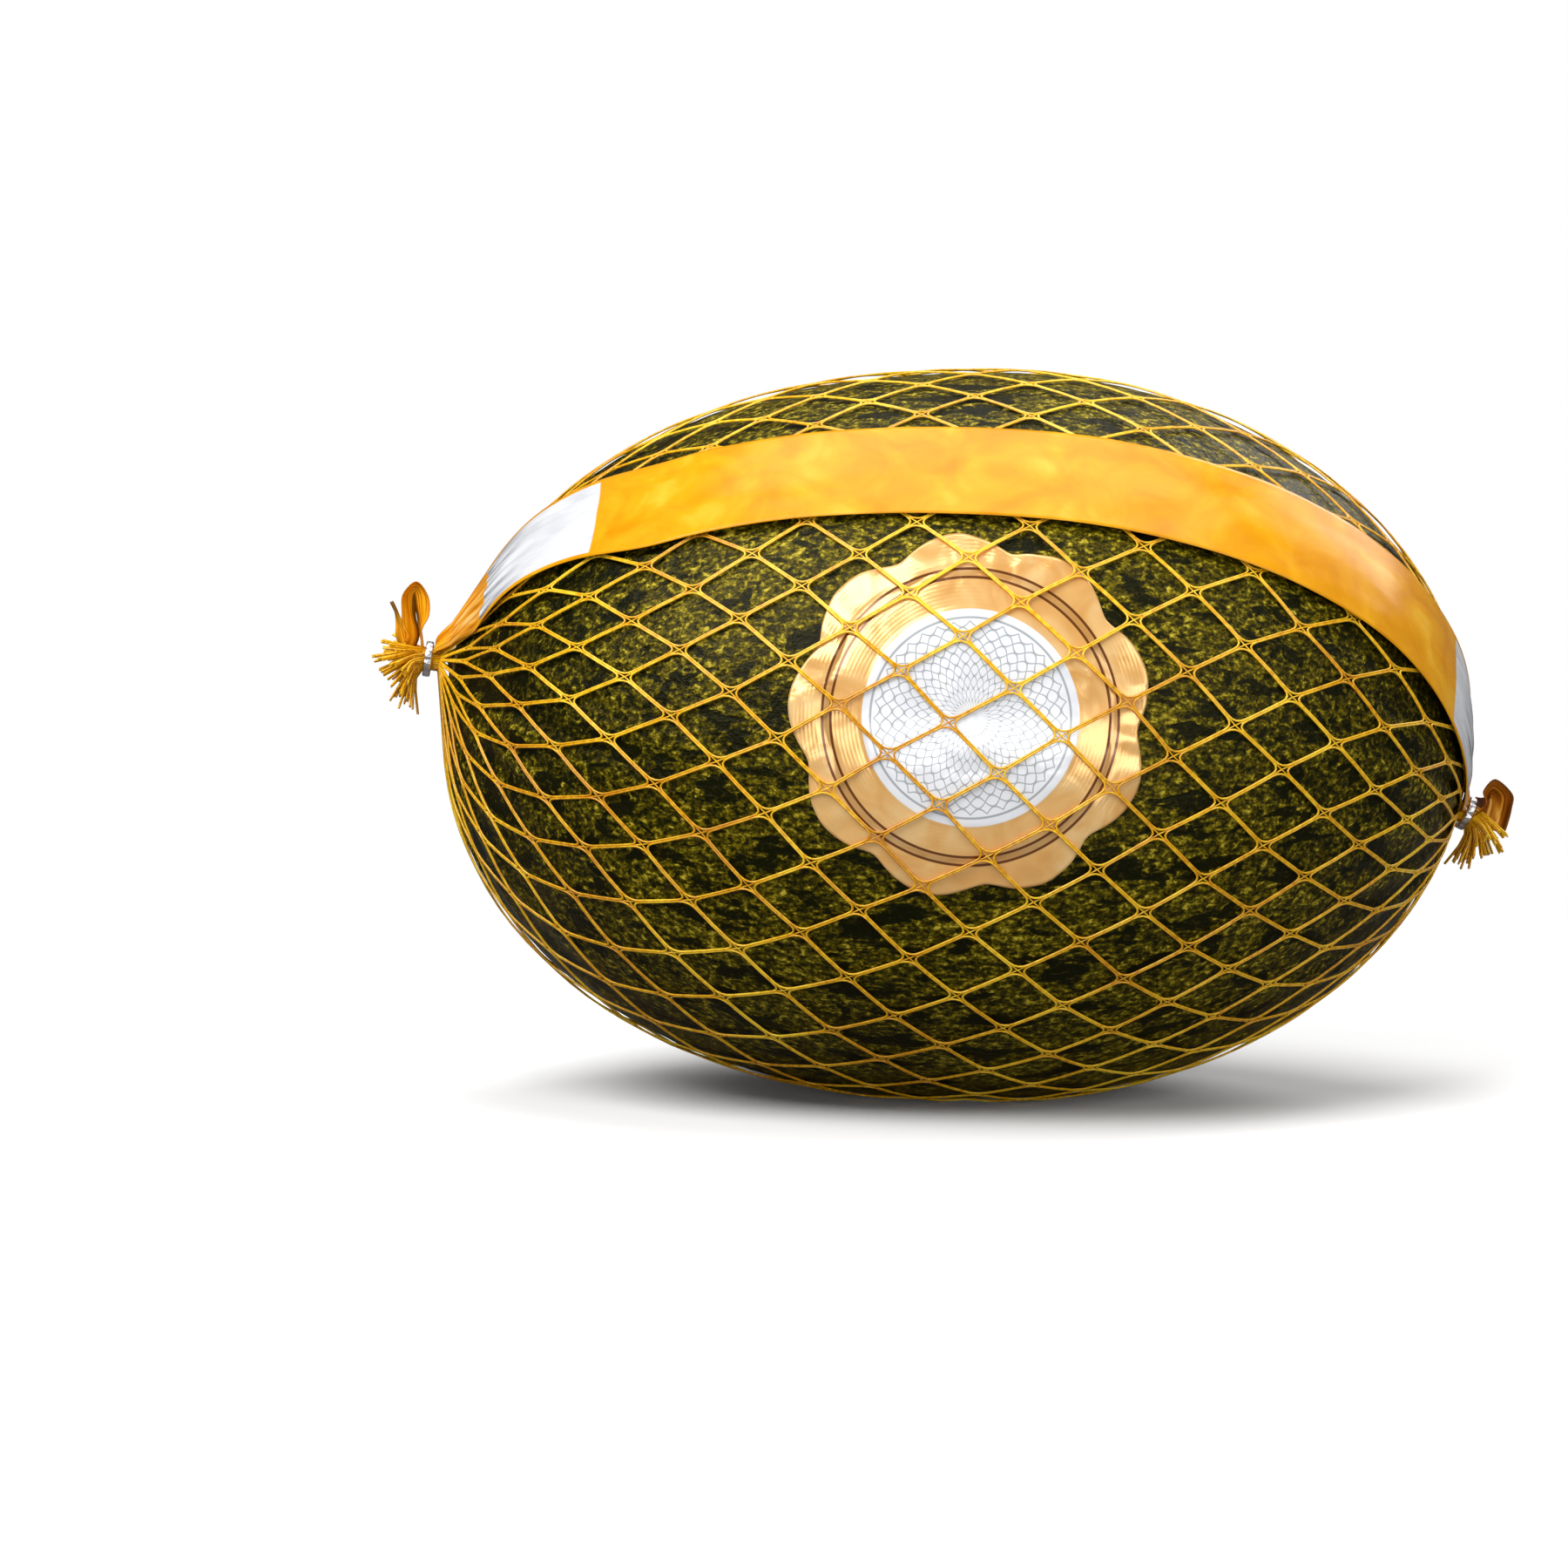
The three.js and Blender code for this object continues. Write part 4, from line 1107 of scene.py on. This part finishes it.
# Painted shade in the pleats: grey creases over the white panels near both necks
pleat_shade = ramp(tree, fold_shading, [
    (0.36, shade(104, 108, 114)), (0.48, shade(190, 192, 197)), (0.62, shade(232, 233, 236))])
near_neck = sums(tree, "MAXIMUM", span(tree, lengthwise, 0.034, 0.014),
                 span(tree, lengthwise, film_length - 0.036, film_length - 0.018))
white = over_paint(tree, near_neck, white, pleat_shade)
# Near the left neck the film is peach, with painted fold shade: dark orange in the folds and pale
# peach between them
peach_fold_shade = ramp(tree, fold_shading, [
    (0.34, shade(176, 96, 2)), (0.50, shade(226, 152, 34)), (0.68, shade(246, 200, 122))])
painted = over_paint(tree, span(tree, lengthwise, 0.016, 0.010), golden, peach_fold_shade)
# The tails are orange with painted fold shade: dark orange in the folds and light orange between
# them
tail = ramp(tree, fold_shading, [
    (0.34, shade(170, 92, 0)), (0.50, shade(226, 148, 6)), (0.66, shade(248, 186, 44))])
# Painted shadow inside the standing loop: dark brown where its inner faces lie in shade. The same
# dark brown also darkens the last few millimetres of the tail's tip
loop_shadow = sums(tree, "MULTIPLY", span(tree, crosswise, 0.15 * BAND_WIDTH, 0.42 * BAND_WIDTH),
                   sums(tree, "MULTIPLY", span(tree, lengthwise, -0.012, -0.018),
                        span(tree, lengthwise, -0.044, -0.038)))
tip = span(tree, lengthwise, TAIL_TIP + 0.006, TAIL_TIP + 0.002)
tail = over_paint(tree, sums(tree, "MULTIPLY", sums(tree, "MAXIMUM", loop_shadow, tip), 0.85),
                  tail, shade(66, 34, 4))
painted = over_paint(tree, span(tree, lengthwise, 0.002, -0.004), painted, tail)
painted = over_paint(tree, panel, painted, white)
# The curled right flap is brown-gold with painted highlights and shade: bright gold streaks over
# dark brown, following a noise
satin = cloud(tree, along_film(0.3), 0.0055, 2.0, 0.5, 0.8)
flap_shade_and_glints = ramp(tree, satin, [
    (0.36, shade(92, 46, 4)), (0.48, shade(156, 88, 14)), (0.56, shade(206, 134, 34)),
    (0.64, shade(246, 188, 84))])
flap = span(tree, lengthwise, film_length + 0.004, film_length + 0.008)
feed(tree, shader, {
    "Base Color": over_paint(tree, flap, painted, flap_shade_and_glints),
    "Roughness": span(tree, sheen, 0.3, 0.7, 0.18, 0.34),
    "Normal": bump(tree, sheen, 0.0003, 0.35),
    "Specular IOR Level": 0.18,
    "Coat Weight": 0.06,
    "Coat Roughness": 0.10,
})

band = plain_piece("film_band", film, grid_faces(len(film), BAND_COLUMNS), film_finish)
film_map = band.data.uv_layers.new(name="film")
corners = np.empty(len(band.data.loops), dtype=int)
band.data.loops.foreach_get("vertex_index", corners)
flat_place = film_place.reshape(-1, 3)[corners][:, :2]
film_map.data.foreach_set("uv", flat_place.ravel())
give_thickness(band, FILM_THICKNESS)
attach(band, "root")
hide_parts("band")

# The setting: a white sweep of paper under soft white light, with the main softbox high on the left
# so that its edge shows in the foil.
paper, tree, shader = new_finish("white paper")
PAPER_SEEN = 1.0
PAPER_BOUNCE = 0.20
PAPER_LIFT = 0.01
ROOM_LIGHT = 0.14
CLEAR_FROM = 0.10
CLEAR_TO = 0.50
LIT_PLACE = (0, 0, 0.085)
# The paper glows white as a lamp would: fully far from the fruit and faintly (PAPER_LIFT) near it,
# which lifts the fruit's shadow. To the camera it is white, but it sends back only PAPER_BOUNCE of
# the light onto the fruit
place = add(tree, "TexCoord").outputs["Object"]
far = add(tree, "VectorMath", {0: place}, operation="LENGTH").outputs["Value"]
clear = span(tree, far, CLEAR_FROM, CLEAR_TO)
sight = add(tree, "LightPath").outputs["Is Camera Ray"]
tint = add(tree, "MapRange", {"Value": sight, "To Min": PAPER_BOUNCE, "To Max": PAPER_SEEN})
kept = sums(tree, "MULTIPLY", tint.outputs["Result"], sums(tree, "SUBTRACT", 1.0, clear))
grey = add(tree, "CombineColor", {"Red": kept, "Green": kept, "Blue": kept}).outputs["Color"]
glow = add(tree, "MapRange", {"Value": sight, "To Min": ROOM_LIGHT, "To Max": 1.0})
lift = sums(tree, "MAXIMUM", clear, PAPER_LIFT)
feed(tree, shader, {
    "Base Color": grey,
    "Emission Color": (1, 1, 1, 1),
    "Emission Strength": sums(tree, "MULTIPLY", lift, glow.outputs["Result"]),
    "Roughness": 0.9,
    "Specular IOR Level": 0.0,
})
floor_mesh = bpy.data.meshes.new("floor")
FLOOR_HALF = 6.0
floor_corners = [(x * FLOOR_HALF, y * FLOOR_HALF, 0)
                 for x, y in ((-1, -1), (1, -1), (1, 1), (-1, 1))]
floor_mesh.from_pydata(floor_corners, [], [(0, 1, 2, 3)])
floor_mesh.materials.append(paper)
floor = bpy.data.objects.new("floor", floor_mesh)
scene.collection.objects.link(floor)
floor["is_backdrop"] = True


def softbox(name, place, width, height, power):
    """A rectangular lamp of that many watts, aimed at the fruit's middle."""
    lamp = bpy.data.lights.new(name, "AREA")
    lamp.shape = "RECTANGLE"
    lamp.size = width
    lamp.size_y = height
    lamp.energy = power
    box = bpy.data.objects.new(name, lamp)
    box.location = place
    aim = Vector(LIT_PLACE) - Vector(place)
    box.rotation_euler = aim.to_track_quat("-Z", "Y").to_euler()
    scene.collection.objects.link(box)


softbox("main softbox", (-0.60, -0.70, 0.95), 1.00, 0.80, 18)
softbox("top softbox", (0.10, 0.10, 1.40), 1.3, 1.0, 12)
softbox("back softbox", (0.75, 0.70, 0.85), 0.8, 0.6, 6)
softbox("front softbox", (0.20, -1.60, 0.10), 1.4, 0.5, 9)
softbox("right softbox", (1.00, -0.95, 0.62), 0.8, 0.6, 5)

scene.world = bpy.data.worlds.new("white room")
scene.world.use_nodes = True
tree = scene.world.node_tree
sight = add(tree, "LightPath").outputs["Is Camera Ray"]
seen = add(tree, "MapRange", {"Value": sight, "To Min": ROOM_LIGHT, "To Max": 1.0})
feed(tree, tree.nodes["Background"], {"Color": (1, 1, 1, 1), "Strength": seen.outputs["Result"]})
scene.view_settings.view_transform = "Standard"

low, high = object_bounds()
